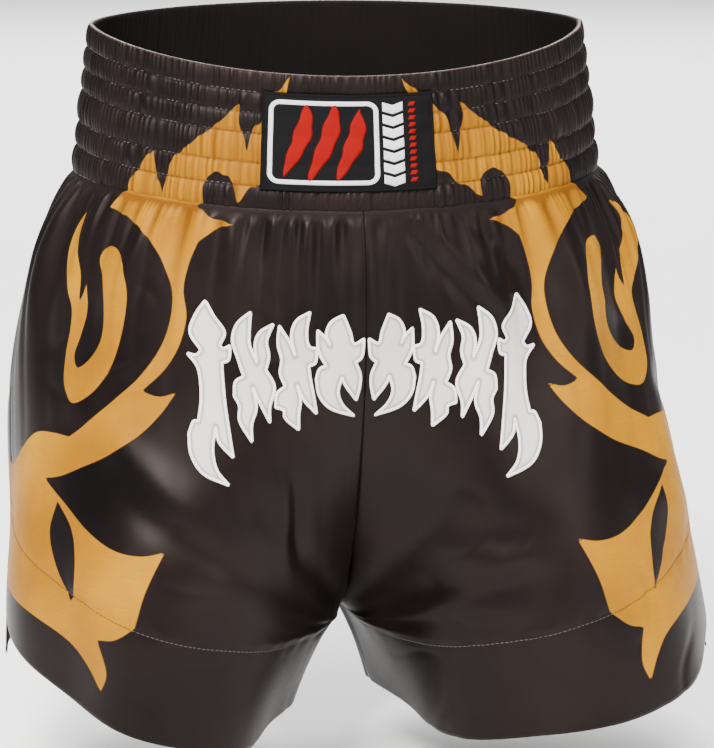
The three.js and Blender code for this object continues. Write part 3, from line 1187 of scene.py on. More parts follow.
@dataclass(frozen=True)
class Weave:
    """A plain woven band or label: warp and weft as crossed waves.

    Attributes:
        name: The material's name.
        shade, light: The cloth between its threads, darker as painted shade, and on them, lighter
            as a
        painted highlight.
        pitch: Threads in a metre.
        depth: Height of a thread in metres.
        roughness: Its roughness.
    """

    name: str
    shade: Colour
    light: Colour
    pitch: float = 2200
    depth: float = 0.00015
    roughness: float = 0.6

    def material(self) -> bpy.types.Material:
        """The product of two crossed waves over the cloth, with soft clouds in the colour. The
        colour
        follows the waves: painted shade between the threads and a painted highlight on them.

        Returns:
            The material.
        """
        g = Graph(self.name)
        cloth, place = g.cloth(), g.place()
        turn = 2 * math.pi * self.pitch
        across = (g.split(cloth, "X") * turn).sine()
        down = (g.split(cloth, "Y") * turn).sine()
        threads = across * down * 0.5 + 0.5
        clouds = g.noise(place, 90, 3)
        # Painted shade between the threads and painted highlight on them, under soft clouds.
        mixed = (threads * 0.55 + clouds * 0.5).clamped()
        return g.finish(
            Base_Color=g.blend(mixed, self.shade, self.light),
            Roughness=(self.roughness + (clouds - 0.5) * 0.2).clamped(),
            Normal=g.bump(threads, self.depth, 0.6),
            Specular_IOR_Level=0.06,
        )


@dataclass(frozen=True)
class Knit:
    """Woven elastic of a CAD node, which has no map of its own: ribs by height."""

    name: str = "elastic_webbing"

    def material(self) -> bpy.types.Material:
        """Ribs down the band with a fine grain over them. The colour follows the ribs: painted
        shade in their grooves and a painted highlight on their crowns.

        Returns:
            The material.
        """
        g = Graph(self.name)
        place = g.place()
        ribs = (g.split(place, "Z") * (2 * math.pi / 0.0016)).sine() * 0.5 + 0.5
        grain = g.noise(place, 900, 2)
        # Painted shade in the ribs' grooves and painted highlight on their crowns, under a random
        # grain.
        colour = g.blend((ribs * 0.6 + grain * 0.4).clamped(), (0.42, 0.4, 0.36), (0.72, 0.7, 0.64))
        return g.finish(
            Base_Color=colour,
            Roughness=(0.75 + (grain - 0.5) * 0.2).clamped(),
            Normal=g.bump(ribs * 0.7 + grain * 0.3, 0.0003, 0.7),
        )


@dataclass(frozen=True)
class Wardrobe:
    """Every finish of the shorts, made once."""

    black: bpy.types.Material
    band: bpy.types.Material
    lining: bpy.types.Material
    thread: bpy.types.Material
    elastic: bpy.types.Material
    label: bpy.types.Material
    white_label: bpy.types.Material
    red_label: bpy.types.Material
    white_satin: bpy.types.Material
    white_edge: bpy.types.Material

    @classmethod
    def made(cls) -> "Wardrobe":
        """Builds the materials.

        Returns:
            The finishes.
        """
        dyes = {"deep": (0.0014, 0.0009, 0.0011), "warm": (0.0066, 0.0037, 0.0036)}
        inks = {"print_deep": (0.2, 0.08, 0.0), "print_lit": (0.37, 0.168, 0.0)}
        lining = {"deep": (0.003, 0.0024, 0.0025), "warm": (0.005, 0.004, 0.004)}
        white = {"deep": (0.42, 0.37, 0.378), "warm": (0.54, 0.485, 0.492)}
        inside = Satin("satin_inside", **lining, roughness=0.75, sheen=0.0, gloss=0.1)
        # The flames' white satin carries the painted shadow line just inside their satin stitch.
        fill = Satin(
            "white_satin", **white, roughness=0.55, sheen=0.0, tint=(1, 1, 1), gloss=0.3, flame_edge_shadow=True
        )
        seam = Thread(
            "seam_thread", (0.03, 0.022, 0.02), (0.12, 0.09, 0.085), on_print=(0.06, 0.02, 0.003)
        )
        return cls(
            black=Satin("printed_satin", **dyes, **inks, printed=True).material(),
            # The band's satin carries the painted highlight along the rim fold.
            band=Satin("gathered_satin", **dyes, **inks, printed=True, edge=True).material(),
            lining=inside.material(),
            thread=seam.material(),
            elastic=Knit().material(),
            label=Weave("woven_label", (0.001, 0.0009, 0.001), (0.003, 0.0027, 0.003)).material(),
            white_label=Weave("white_label", (0.42, 0.4, 0.43), (0.62, 0.6, 0.63)).material(),
            red_label=Weave("red_label", (0.11, 0.0, 0.0), (0.2, 0.0, 0.0)).material(),
            white_satin=fill.material(),
            white_edge=Thread(
                "white_satin_stitch", (0.5, 0.46, 0.46), (0.82, 0.78, 0.78), 1100, 0.45
            ).material(),
        )


# ---------------------------------------------------------------- the gold print


@dataclass(frozen=True)
class FlamePrint:
    """The printed flame, drawn on the flat cloth for one side and mirrored at both seams.

    Points are (girth from the centre front, fall below the waist seam), negative on the
    waistband. Each run is smooth, and runs meet at sharp tips and notches.

    Attributes:
        body, curl, slit: The outlines of the large flame, the curl in it and the hole in it.
        gathers: The waist's gathers, which make the edges ragged.
        side_seam: Girth from the centre front to the side seam.
    """

    body: tuple[tuple[tuple[float, float], ...], ...] = (
        ((125, -32), (130, -22), (139, -11), (145, 9)),
        ((145, 9), (127, 13), (110, 22), (97, 38), (91, 56), (94, 80), (106, 101), (124, 119),
         (142, 135), (156, 145)),
        ((156, 145), (170, 146), (187, 150), (204, 163), (222, 179), (246, 188)),
        ((246, 188), (246, 212), (246, 240)),
        ((246, 240), (226, 243), (205, 251), (186, 257), (168, 265), (157, 276), (149, 289)),
        ((149, 289), (147, 277), (153, 259)),
        ((153, 259), (144, 256), (135, 244), (124, 226), (107, 201)),
        ((107, 201), (120, 205), (134, 204), (149, 196), (163, 184), (178, 174)),
        ((178, 174), (164, 169), (147, 160), (127, 149), (110, 136), (97, 122), (88, 109)),
        ((88, 109), (97, 112), (106, 110)),
        ((106, 110), (94, 97), (86, 82), (83, 64), (86, 48), (85, 33), (82, 20)),
        ((82, 20), (74, 12), (65, 8)),
        ((65, 8), (77, 6), (88, 0)),
        ((88, 0), (89, -13), (83, -22), (76, -21), (71, -14), (69, -5)),
        ((69, -5), (60, -14), (50, -25), (40, -38), (33, -52)),
        ((33, -52), (38, -62), (42, -75), (40, -88)),
        ((40, -88), (47, -79), (54, -66), (60, -51), (64, -36)),
        ((64, -36), (66, -47), (69, -57), (69, -68)),
        ((69, -68), (80, -56), (92, -44), (104, -33), (112, -22), (117, -4)),
        ((117, -4), (121, -18), (125, -32)),
    )
    curl: tuple[tuple[tuple[float, float], ...], ...] = (
        ((166, 15), (171, 38), (162, 60), (156, 74), (160, 98), (161, 116), (153, 125),
         (138, 117), (124, 99), (117, 78), (116, 56), (121, 39)),
        ((121, 39), (129, 31), (137, 31), (140, 39), (134, 51), (130, 66), (131, 84),
         (139, 97), (149, 104), (152, 97), (147, 85), (143, 70), (147, 53)),
        ((147, 53), (148, 60), (151, 66)),
        ((151, 66), (153, 50), (160, 36), (166, 15)),
    )
    slit: tuple[tuple[tuple[float, float], ...], ...] = (
        ((168, 184), (160, 198), (161, 216), (169, 242)),
        ((169, 242), (175, 222), (176, 203), (168, 184)),
    )

    gathers: RingNoise = RingNoise(96, 26, 3)
    side_seam: float = 230

    def distance(self, girth: Array, fall: Array) -> Array:
        """Signed distance to the print's edge, positive on the gold: the union of the body
        and the curl, less the slit. Beyond the side seam the cloth reads the mirrored place.
        The gathers, which fold part of the cloth away, make the edges near the waist ragged,
        and on the wearer's left they draw the print towards the label.

        Args:
            girth, fall: Place on the flat cloth.

        Returns:
            The distance at each place.
        """
        near = np.exp(-np.maximum(fall, 0) / 9)
        angle = girth / self.side_seam * np.pi / 2
        ragged = self.gathers(angle + fall * 4e-4) * near
        up, down = smooth(0, 40, -fall), smooth(0, 30, fall)
        left = girth > 0
        x = np.abs(girth)
        drawn = 9 * (1 - smooth(70, 120, x)) * up + 8 * smooth(60, 88, -fall)
        eased = 10 * smooth(125, 175, x) * down * (1 - smooth(100, 190, fall))
        eased = eased - 9 * smooth(140, 180, x) * smooth(150, 190, fall)
        x = x + np.where(left, drawn - eased, 0) + 0.7 * ragged
        fall = fall + 0.7 * self.gathers(angle * 0.83 + 2) * near
        x = np.where(x > self.side_seam, 2 * self.side_seam - x, x)
        body = signed_distance(x, fall, outline(self.body))
        curl = signed_distance(x, fall, outline(self.curl))
        slit = signed_distance(x, fall, outline(self.slit))
        return np.minimum(np.maximum(body, curl), -slit)


# ---------------------------------------------------------------- waistband


@dataclass(frozen=True)
class Waistband:
    """The casing folded over six elastics, its gathers and its rows of stitches, in mm.

    Attributes:
        drape: The cloth below, with the garment's surface.
        print: The gold print.
        wall, lining: How far the outside and the inside stand off the middle surface.
        crowns: Bulge over each elastic.
        rib_height: Height of the gathers.
        columns, row_pitch: Points round the band, and the step between its rows.
        stitch_pitch, stitch: Step between stitches; their length, width and height.
        mean_radius: Radius that turns the stitches' step into an angle.
        seam_row_up: How far the last row stands over the waist seam.
        least_height: Least distance of the outside from the middle surface, off the rows.
        pinch_depth: Depth of the groove along each row.
        flat: Flat width and length of the strip, in metres. Not used.
        common, broad: Waves that all channels share.
    """

    drape: Drape
    print: FlamePrint
    wall: float = 1.0
    lining: float = 1.9
    crowns: tuple[float, ...] = (0.7, 0.8, 0.8, 1.6, 1.0, 1.2)
    rib_height: float = 1.05
    columns: int = 1040
    row_pitch: float = 1.25
    stitch_pitch: float = 3.1
    stitch: tuple[float, float, float] = (2.3, 0.62, 0.62)
    mean_radius: float = 138
    seam_row_up: float = 0.4
    least_height: float = 0.9
    pinch_depth: float = 0.6
    flat: tuple[float, float] = (0.19, 1.12)
    common: RingNoise = RingNoise(100, 30, 3)
    broad: RingNoise = RingNoise(24, 12, 77)

    @property
    def rows(self) -> Array:
        """Drop of the rim, each stitch row and the waist seam."""
        return np.concatenate([[0.0], np.cumsum(self.drape.garment.channels)])

    def gathers(self, angle: Array, drop: Array) -> Array:
        """Ribs from -1 to 1: each channel's own, shared in part with all of them.

        Args:
            angle, drop: Place round and down the band.

        Returns:
            The height at each place.
        """
        total = 0.5 * self.common.crests(angle + 0.0006 * np.sin(drop / 6))
        rows = self.rows
        for i in range(len(rows) - 1):
            own = RingNoise(100, 34, 40 + i).crests(angle + 0.0009 * np.sin(drop / 4 + i))
            low = 1.0 if i == 0 else smooth(rows[i] - 2, rows[i] + 2, drop)
            high = 0.0 if i == len(rows) - 2 else smooth(rows[i + 1] - 2, rows[i + 1] + 2, drop)
            total = total + 0.62 * own * (low - high)
        return total

    def relief(self, angle: Array, drop: Array) -> Array:
        """Height over the middle surface: a bulge over each elastic, ribs that are highest in
        the middle of it, and a pinch along each row.

        Args:
            angle, drop: Place round and down the band.

        Returns:
            The height at each place.
        """
        rows = self.rows
        bulge = np.zeros_like(drop)
        lively = np.full_like(drop, 0.5)
        for i, crown in enumerate(self.crowns):
            t = clamp01((drop - rows[i]) / (rows[i + 1] - rows[i]))
            arch = np.sin(np.pi * t)
            bulge += crown * arch**0.75
            lively += 0.5 * arch * (crown / 1.6) ** 0.5
        pinch = sum(bell(drop - row, 0.9) for row in rows[1:-1])
        slow = self.broad(angle) * 0.35
        ribs = self.rib_height * lively * self.gathers(angle, drop)
        height = self.wall + bulge + ribs + slow * lively
        return np.maximum(height, self.least_height) - self.pinch_depth * pinch

    def surface(self, angle: Array, drop: Array, offset: Array | float = 0.0) -> Array:
        """Points over the gathered outside, an offset proud of it."""
        g = self.drape.garment
        height = self.relief(angle, drop) + offset
        return g.band_point(angle, drop) + g.band_normal(angle, drop) * height[..., None]

    def casing(self, dress: Wardrobe) -> bpy.types.Object:
        """One strip: down the outside, over the rim fold and down the inside.

        Args:
            dress: The finishes.

        Returns:
            The casing.
        """
        g = self.drape.garment
        angle = np.linspace(0, 2 * np.pi, self.columns, endpoint=False)[None, :]
        fold = np.linspace(0, np.pi, 7)[1:-1]
        inside = np.array([g.band, 74, 60, 46, 32, 20, 10, 4, 1.6])
        outside = np.linspace(1.2, g.band + 0.6, int(g.band / self.row_pitch))
        drop = np.concatenate([inside, 0.9 - 0.9 * np.sin(fold), outside])[:, None]
        drop, angle = np.broadcast_arrays(drop, angle)
        outer = self.relief(angle, np.maximum(drop, 0))
        inner = -self.lining + 0.2 * self.gathers(angle, np.maximum(drop, 0))
        share = np.concatenate(
            [np.zeros(len(inside)), (1 - np.cos(fold)) / 2, np.ones(len(outside))]
        )[:, None]
        height = mix(inner, outer, share)
        height = np.where(drop > g.band - 1.5, np.clip(height, -self.lining, 2.6), height)
        points = g.band_point(angle, drop) + g.band_normal(angle, drop) * height[..., None]
        girth = g.girth_at(angle)
        uv = np.stack([girth * MM * 1.5, drop * MM * np.where(share > 0.5, 1, -1)], -1)
        made = Cloth.grid(points, True, uv)
        gold = self.print.distance(girth, np.minimum(drop - g.band, -0.01))
        gold = np.where(share < 0.6, -5, gold)
        made.marks["print"] = gold
        # Where the painted highlight along the rim fold lies.
        made.marks["fold"] = np.where(share > 0.3, bell(drop + (1 - share) * 1.2, 0.5), 0)
        # Painted shade, read by the print's colour: the valleys between the band's ribs, and a line
        # along each stitch row and the waist seam.
        dip = clamp01(0.5 - 0.55 * self.gathers(angle, np.maximum(drop, 0)))
        dip = np.maximum(dip, sum(bell(drop - row, 0.8) for row in self.rows[1:]))
        made.marks["valley"] = np.where(share > 0.6, dip, 0)
        made.slots = np.repeat(np.where(share[:-1, 0] > 0.25, 0, 1), self.columns)
        normal = g.band_normal(angle, drop) * np.where(share > 0.5, 1, -1)[..., None]
        made.turned(normal.reshape(-1, 3))
        return made.object("waistband_casing_cloth", dress.band, dress.lining)

    def stitch_row(self, drop: float, name: str, dress: Wardrobe) -> bpy.types.Object:
        """Stitches side by side round the band at one drop, each lying on the gathers.

        Args:
            drop: The row's fall below the rim.
            name: The name that it gets.
            dress: The finishes.

        Returns:
            The row.
        """
        g = self.drape.garment
        count = int(round(2 * np.pi * self.mean_radius / self.stitch_pitch))
        angle = (np.arange(count) + 0.5) / count * 2 * np.pi
        level = np.full(count, drop)
        half = 0.5 * self.stitch_pitch / self.mean_radius
        before = self.surface(angle - half * 0.8, level, 0.1)
        after = self.surface(angle + half * 0.8, level, 0.1)
        normal = g.band_normal(angle, level)
        row = beads((before + after) / 2, after - before, normal, *self.stitch)
        girth = g.girth_at(angle)
        gold = self.print.distance(girth, level - g.band - 0.01)
        row.marks["print"] = np.repeat(gold, len(row.points) // count)
        return row.object(name, dress.thread)

    def build(self, dress: Wardrobe) -> list[bpy.types.Object]:
        """The casing, its stitch rows and the finish of the elastics inside it.

        Args:
            dress: The finishes.

        Returns:
            The pieces.
        """
        casing = declare(self.casing(dress), "satin_black", "waistband_casing")
        rows = []
        for i, drop in enumerate(self.rows[1:-1], 1):
            row = self.stitch_row(float(drop), f"waist_stitches_{i}", dress)
            rows.append(declare(row, "seam_thread", f"waist_stitch_row_{i}"))
        last = float(self.rows[-1]) - self.seam_row_up
        seam = self.stitch_row(last, "waist_seam_stitches", dress)
        rows.append(declare(seam, "seam_thread"))
        for i in range(1, len(self.crowns) + 1):
            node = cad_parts[f"waist_elastic_{i}"]
            node.data.materials.clear()
            node.data.materials.append(dress.elastic)
        return [casing, *rows]


# ---------------------------------------------------------------- panels, facings, hem rows


@dataclass(frozen=True)
class Panels:
    """The four satin panels with their hem facings and hem stitches, in mm.

    Attributes:
        drape: How the cloth hangs.
        print: The gold print.
        across, down: Points across and down a panel.
        thickness: Thickness of the satin.
        facing_gap, facing, facing_depth: The facing's gap, thickness and depth.
        facing_grid: Points across and down a facing.
        margin: Share of the width that the facing and the stitches keep off the seams.
        stitch_pitch, stitch: Step between stitches; their length, width and height.
        stitch_proud: How far the stitches' middles stand over the satin.
        line_steps: Points along the line that the stitches follow.
        unprinted: The print's distance on a face that carries none.
        flat_widths, flat_length: The flat cut's width and length, in metres. Not used.
        cut_share: Share of that rectangle left after the fork and the vent corner are cut. Not
            used.
    """

    drape: Drape
    print: FlamePrint
    across: int = 190
    down: int = 200
    thickness: float = 0.5
    facing_gap: float = 0.35
    facing: float = 0.35
    facing_depth: float = 62
    facing_grid: tuple[int, int] = (90, 26)
    margin: float = 0.004
    stitch_pitch: float = 3.0
    stitch: tuple[float, float, float] = (2.3, 0.5, 0.45)
    stitch_proud: float = 0.12
    line_steps: int = 600
    unprinted: float = -5.0
    flat_widths: dict[str, float] = field(default_factory=lambda: {"front": 0.4, "back": 0.365})
    flat_length: float = 0.34
    cut_share: float = 0.76

    def grid(self) -> tuple[Array, Array]:
        """Places over a panel, closer together under the waist seam, where the gathers are,
        and next to the seams.

        Returns:
            u and v of each point.
        """
        g = self.drape.garment
        t = np.linspace(0, 1, self.down)
        top = -g.tuck / g.band
        v = np.where(t < 0.02, mix(top, 0, t / 0.02), ((t - 0.02) / 0.98) ** 1.18)
        s = np.linspace(0, 1, self.across)
        u = s - 0.055 * np.sin(2 * np.pi * s) / np.pi
        return np.meshgrid(u, v, indexing="xy")

    def panel(self, side: Side, half: Half, dress: Wardrobe) -> bpy.types.Object:
        """A panel as two layers, printed on the outside.

        Args:
            side, half: Which panel.
            dress: The finishes.

        Returns:
            The panel.
        """
        d, g = self.drape, self.drape.garment
        u, v = self.grid()
        outer = d.on_panel(side, half, u, v, np.full(u.shape, self.thickness / 2))
        inner = d.on_panel(side, half, u, v, np.full(u.shape, -self.thickness / 2))
        fall = v * g.length(u, half)
        angle = side.value * g.waist_angle(u, half)
        girth = angle / (np.pi / 2) * g.girth
        uv = np.stack([girth, fall], -1) * MM
        made = Cloth.shell(outer, inner, uv)
        gold = self.print.distance(girth, fall)
        made.marks["print"] = np.concatenate([gold.ravel(), np.full(gold.size, self.unprinted)])
        # Painted shade, read by the print's colour: the valleys of the gathers and a line along the
        # waist seam.
        made.marks["valley"] = np.tile(d.valley(angle, fall).ravel(), 2)
        made.filled_out()
        return made.object(f"{half.word}_{side.word}_panel_cloth", dress.black, dress.lining)

    def facing_cloth(self, side: Side, half: Half, dress: Wardrobe) -> bpy.types.Object:
        """The turned-up hem inside the panel, as deep as its stitches stand off the hem.

        Args:
            side, half: Which panel.
            dress: The finishes.

        Returns:
            The facing.
        """
        d, g = self.drape, self.drape.garment
        across, down = self.facing_grid
        columns = np.linspace(self.margin, 1 - self.margin, across)
        u, t = np.meshgrid(columns, np.linspace(0, 1, down), indexing="xy")
        v = 1 - self.facing_depth * (1 - t) / g.length(u, half)
        near = -self.thickness / 2 - self.facing_gap
        outer = d.on_panel(side, half, u, v, np.full(u.shape, near))
        inner = d.on_panel(side, half, u, v, np.full(u.shape, near - self.facing))
        angle = side.value * g.waist_angle(u, half)
        uv = np.stack([angle / (np.pi / 2) * g.girth, v * g.length(u, half)], -1) * MM
        made = Cloth.shell(outer, inner, uv).filled_out()
        return made.object(f"{half.word}_{side.word}_hem_facing_cloth", dress.lining)

    def hem_row(self, side: Side, half: Half, dress: Wardrobe) -> bpy.types.Object:
        """One row of stitches along the top of the facing, on the outside.

        Args:
            side, half: Which panel.
            dress: The finishes.

        Returns:
            The row.
        """
        d, g = self.drape, self.drape.garment
        fine = np.linspace(self.margin, 1 - self.margin, self.line_steps)
        line_v = 1 - d.hem_row / g.length(fine, half)
        proud = np.full(self.line_steps, self.thickness / 2 + self.stitch_proud)
        line = d.on_panel(side, half, fine, line_v, proud)
        run = np.concatenate([[0], np.cumsum(np.linalg.norm(np.diff(line, axis=0), axis=1))])
        at = np.arange(self.stitch_pitch / 2, run[-1], self.stitch_pitch)
        u = np.interp(at, run, fine)
        v = 1 - d.hem_row / g.length(u, half)
        centre = np.stack([np.interp(at, run, line[:, k]) for k in range(3)], -1)
        ahead = np.stack([np.interp(at + 1.0, run, line[:, k]) for k in range(3)], -1)
        behind = np.stack([np.interp(at - 1.0, run, line[:, k]) for k in range(3)], -1)
        normal = g.panel_normal(half, u, v)
        normal[:, 0] *= side.value
        row = beads(centre, ahead - behind, normal, *self.stitch)
        girth = side.value * g.waist_angle(u, half) / (np.pi / 2) * g.girth
        gold = self.print.distance(girth, v * g.length(u, half))
        row.marks["print"] = np.repeat(gold, len(row.points) // len(u))
        return row.object(f"{half.word}_{side.word}_hem_stitches", dress.thread)

    def build(self, dress: Wardrobe) -> list[bpy.types.Object]:
        """All four panels, each with its facing and its row of hem stitches.

        Args:
            dress: The finishes.

        Returns:
            The pieces.
        """
        pieces = []
        for side in Side:
            for half in Half:
                where = f"{half.word}_{side.word}"
                panel = self.panel(side, half, dress)
                facing = self.facing_cloth(side, half, dress)
                row = self.hem_row(side, half, dress)
                for piece, node, slot in (
                    (panel, "panel", "satin_black"),
                    (facing, "hem_facing", "satin_facing"),
                    (row, "hem_stitching", "seam_thread"),
                ):
                    pieces.append(declare(piece, slot, f"{where}_{node}"))
        return pieces


# ---------------------------------------------------------------- front patch


@dataclass(frozen=True)
class FrontPatch:
    """The woven label on the waistband: ground, border, frame, three slashes and two columns,
    in mm from its middle.

    Attributes:
        band: The waistband that it is stitched to.
        centre: Its middle, from the centre front.
        top_row, over_row: The stitch row at its top, and how far it stands over that row.
        width, height: Its size.
        lift: How far it lies off the band's wall.
        frame_x, frame_size, frame_stroke, frame_corner: The rounded frame.
        slash_lengths, slash_leans, slash_pitch: The three slashes.
        raised: Bottom and top of the slashes and the blocks over the label.
        blocks, block_x, block_pitch, block_half, chevron: The white column.
        lozenges, lozenge_x, lozenge_pitch, lozenge_half: The red column.
    """

    band: Waistband
    centre: float = -8
    top_row: int = 1
    over_row: float = 1
    width: float = 104
    height: float = 64
    lift: float = 1.7
    frame_x: float = -15
    frame_size: tuple[float, float] = (66, 55)
    frame_stroke: float = 3.0
    frame_corner: float = 5.5
    slash_lengths: tuple[float, ...] = (46, 50, 45)
    slash_leans: tuple[float, ...] = (13, 15, 13)
    slash_pitch: float = 15.5
    raised: tuple[float, float] = (0.35, 0.95)
    blocks: int = 7
    block_x: float = 26.5
    block_pitch: float = 7.9
    block_half: tuple[float, float] = (6.2, 2.9)
    chevron: float = 2.2
    lozenges: int = 12
    lozenge_x: float = 38.2
    lozenge_pitch: float = 4.5
    lozenge_half: tuple[float, float] = (1.9, 1.35)

    def on(self, x: Array, y: Array, offset: Array | float) -> Array:
        """A point of the label: x along the band, y down, over a surface that spans the
        gathers and follows only their broad swell.

        Args:
            x, y: Places across and down.
            offset: Distance proud of the surface.

        Returns:
            The points.
        """
        g = self.band.drape.garment
        middle = self.band.rows[self.top_row] - self.over_row + self.height / 2
        angle = (self.centre + x) / ((g.rim[0] + g.seam[0]) / 2)
        drop = middle + y
        rows = self.band.rows
        swell = np.zeros(np.broadcast(x, y).shape)
        for i, crown in enumerate(self.band.crowns):
            t = clamp01((drop - rows[i]) / (rows[i + 1] - rows[i]))
            swell = swell + 0.4 * crown * np.sin(np.pi * t)
        droop = 0.5 * np.sin(x / 9.0) * np.sin(y / 14.0 + 1) + 0.25 * np.sin(x / 4.1 + y / 9)
        height = self.band.wall + self.lift + swell + 0.5 * droop + offset
        angle, drop = np.broadcast_arrays(angle, drop)
        return g.band_point(angle, drop) + g.band_normal(angle, drop) * height[..., None]

    def plate(self, x: Array, y: Array, low: float, high: float) -> Cloth:
        """A closed plate over a grid of places, its top rounded off at the edge.

        Args:
            x, y: Places across and down.
            low, high: Its bottom and its top.

        Returns:
            The plate.
        """
        rows, columns = x.shape
        i, j = np.meshgrid(np.arange(rows), np.arange(columns), indexing="ij")
        edge = np.minimum(np.minimum(i, rows - 1 - i), np.minimum(j, columns - 1 - j))
        top = low + (high - low) * (1 - 0.6 * np.exp(-edge / 0.8))
        uv = np.stack([x, y], -1) * MM
        outer = self.on(x, y, top)
        inner = self.on(x, y, np.full(x.shape, low))
        made = Cloth.shell(outer, inner, uv)
        made.slots = None
        return made.filled_out()

    def ribbon(self, path: Array, width: float, low: float, height: float) -> Cloth:
        """A half-round cord of thread along a closed path of places on the label."""
        return ribbon_along(path, width, height, lambda x, y, h: self.on(x, y, low + h))

    def build(self, dress: Wardrobe) -> list[bpy.types.Object]:
        """The label's pieces, from the ground up.

        Args:
            dress: The finishes.

        Returns:
            The pieces.
        """
        w, h = self.width / 2, self.height / 2
        x, y = np.meshgrid(np.linspace(-w, w, 150), np.linspace(-h, h, 90), indexing="xy")
        ground = self.plate(x, y, -0.6, 0.5).object("patch_ground", dress.label)
        hem = rounded_path(w - 1.2, h - 1.2, 1.0, 240)
        border = self.ribbon(hem, 1.5, 0.35, 0.5).object("patch_border", dress.label)
        fw, fh = self.frame_size
        path = rounded_path(fw / 2 - 1.6, fh / 2 - 1.6, self.frame_corner, 260)
        path[:, 0] += self.frame_x
        ring = self.ribbon(path, self.frame_stroke, 0.45, 0.55)
        ring = ring.object("patch_frame_thread", dress.white_label)
        pieces = [
            (ground, "patch_ground", ["patch_base"]),
            (border, "patch_ground", []),
            (ring, "patch_white", ["patch_frame"]),
        ]
        for i in range(len(self.slash_lengths)):
            bar = self.slash(i).object(f"patch_slash_{i + 1}", dress.red_label)
            pieces.append((bar, "patch_red", [f"patch_emblem_bar_{i + 1}"]))
        column = self.white_column().object("patch_blocks", dress.white_label)
        pieces.append((column, "patch_white", ["patch_white_column"]))
        dashes = self.red_column().object("patch_dashes", dress.red_label)
        pieces.append((dashes, "patch_red", ["patch_red_column"]))
        for piece, slot, nodes in pieces:
            declare(piece, slot, *nodes)
        return [piece for piece, _, _ in pieces]

    def slash(self, index: int) -> Cloth:
        """A leaning claw mark: widest above its middle, drawn out to a point at each end.

        Args:
            index: Its number, from the wearer's right.

        Returns:
            The mark.
        """
        t = np.linspace(0, 1, 60)[:, None]
        s = np.linspace(-1, 1, 10)[None, :]
        breadth = 4.9 * np.sin(np.pi * t**0.8) ** 0.75 * (1 + 0.12 * np.sin(t * 19 + index * 2))
        x = self.frame_x + (index - 1) * self.slash_pitch
        x = x + self.slash_leans[index] * (0.5 - t) + s * breadth
        x = x + 2.2 * np.sin(np.pi * t * 1.2)
        y = (t - 0.5) * self.slash_lengths[index] + (index - 1) * 1.5 + s * 1.6
        return self.plate(x, y, *self.raised)

    def white_column(self) -> Cloth:
        """Seven woven blocks, each cut with a chevron at its ends.

        Returns:
            The blocks in one mesh.
        """
        parts = []
        wide, tall = self.block_half
        for k in range(self.blocks):
            s, t = np.meshgrid(np.linspace(-1, 1, 15), np.linspace(-1, 1, 9), indexing="xy")
            middle = (k - (self.blocks - 1) / 2) * self.block_pitch
            x = self.block_x + s * wide
            y = middle + t * tall + self.chevron * (1 - np.abs(s))
            parts.append(self.plate(x, y, *self.raised))
        return Cloth.joined(parts)

    def red_column(self) -> Cloth:
        """A row of small lozenges.

        Returns:
            The lozenges in one mesh.
        """
        parts = []
        wide, tall = self.lozenge_half
        for k in range(self.lozenges):
            s, t = np.meshgrid(np.linspace(-1, 1, 7), np.linspace(-1, 1, 7), indexing="xy")
            middle = (k - (self.lozenges - 1) / 2) * self.lozenge_pitch
            x = self.lozenge_x + (s - t * 0.35) * wide
            parts.append(self.plate(x, middle + t * tall, 0.35, 0.8))
        return Cloth.joined(parts)


def rounded_path(w: float, h: float, corner: float, count: int) -> Array:
    """A rounded rectangle's outline as evenly spaced points.

    Args:
        w, h: Half width and half height.
        corner: Radius of the corners.
        count: Number of points.

    Returns:
        The points.
    """
    t = np.linspace(0, np.pi / 2, 12)
    arc = np.stack([np.cos(t), np.sin(t)], -1) * corner
    corners = []
    for sx, sy, turned in ((1, 1, False), (-1, 1, True), (-1, -1, False), (1, -1, True)):
        piece = arc * [sx, sy] + [sx * (w - corner), sy * (h - corner)]
        corners.append(piece[::-1] if turned else piece)
    return even_loop(np.vstack(corners), count)


def even_loop(points: Array, count: int) -> Array:
    """A closed outline's points, spaced evenly along it.

    Args:
        points: The points.
        count: Number of points.

    Returns:
        The points.
    """
    loop = np.vstack([points, points[:1]])
    run = np.concatenate([[0], np.cumsum(np.linalg.norm(np.diff(loop, axis=0), axis=1))])
    at = np.linspace(0, run[-1], count, endpoint=False)
    return np.stack([np.interp(at, run, loop[:, k]) for k in range(2)], -1)


def ribbon_along(
    path: Array, width: float, height: float, lay: Callable[[Array, Array, Array], Array]
) -> Cloth:
    """A closed half-round ribbon along a closed path in the plane.

    Across the ribbon the height is a half ellipse, closed underneath by a flat bottom.

    Args:
        path: Points of the path, evenly spaced.
        width, height: Sizes of the section.
        lay: Turns plane coordinates and a height into points in space.

    Returns:
        The ribbon.
    """
    ahead, behind = np.roll(path, -1, axis=0), np.roll(path, 1, axis=0)
    along = unit(ahead - behind)
    side = np.stack([-along[:, 1], along[:, 0]], -1)
    turn = np.linspace(0, np.pi, 8)
    section_x = np.concatenate([np.cos(turn), [-0.4, 0.4]]) * width / 2
    section_h = np.concatenate([np.sin(turn) * height, [-0.15, -0.15]])
    x = path[:, 0][:, None] + side[:, 0][:, None] * section_x
    y = path[:, 1][:, None] + side[:, 1][:, None] * section_x
    points = lay(x, y, np.broadcast_to(section_h, x.shape))
    rows, columns = x.shape
    face = faces_of_grid(rows + 1, columns, True) % (rows * columns)
    run = np.arange(rows) * np.linalg.norm(path[1] - path[0]) * MM
    uv = np.stack(np.broadcast_arrays(run[:, None], section_x[None, :] * MM), -1)
    return Cloth(points.reshape(-1, 3), face, uv.reshape(-1, 2)).filled_out()


# ---------------------------------------------------------------- white flames


Run = tuple[tuple[float, float], ...]


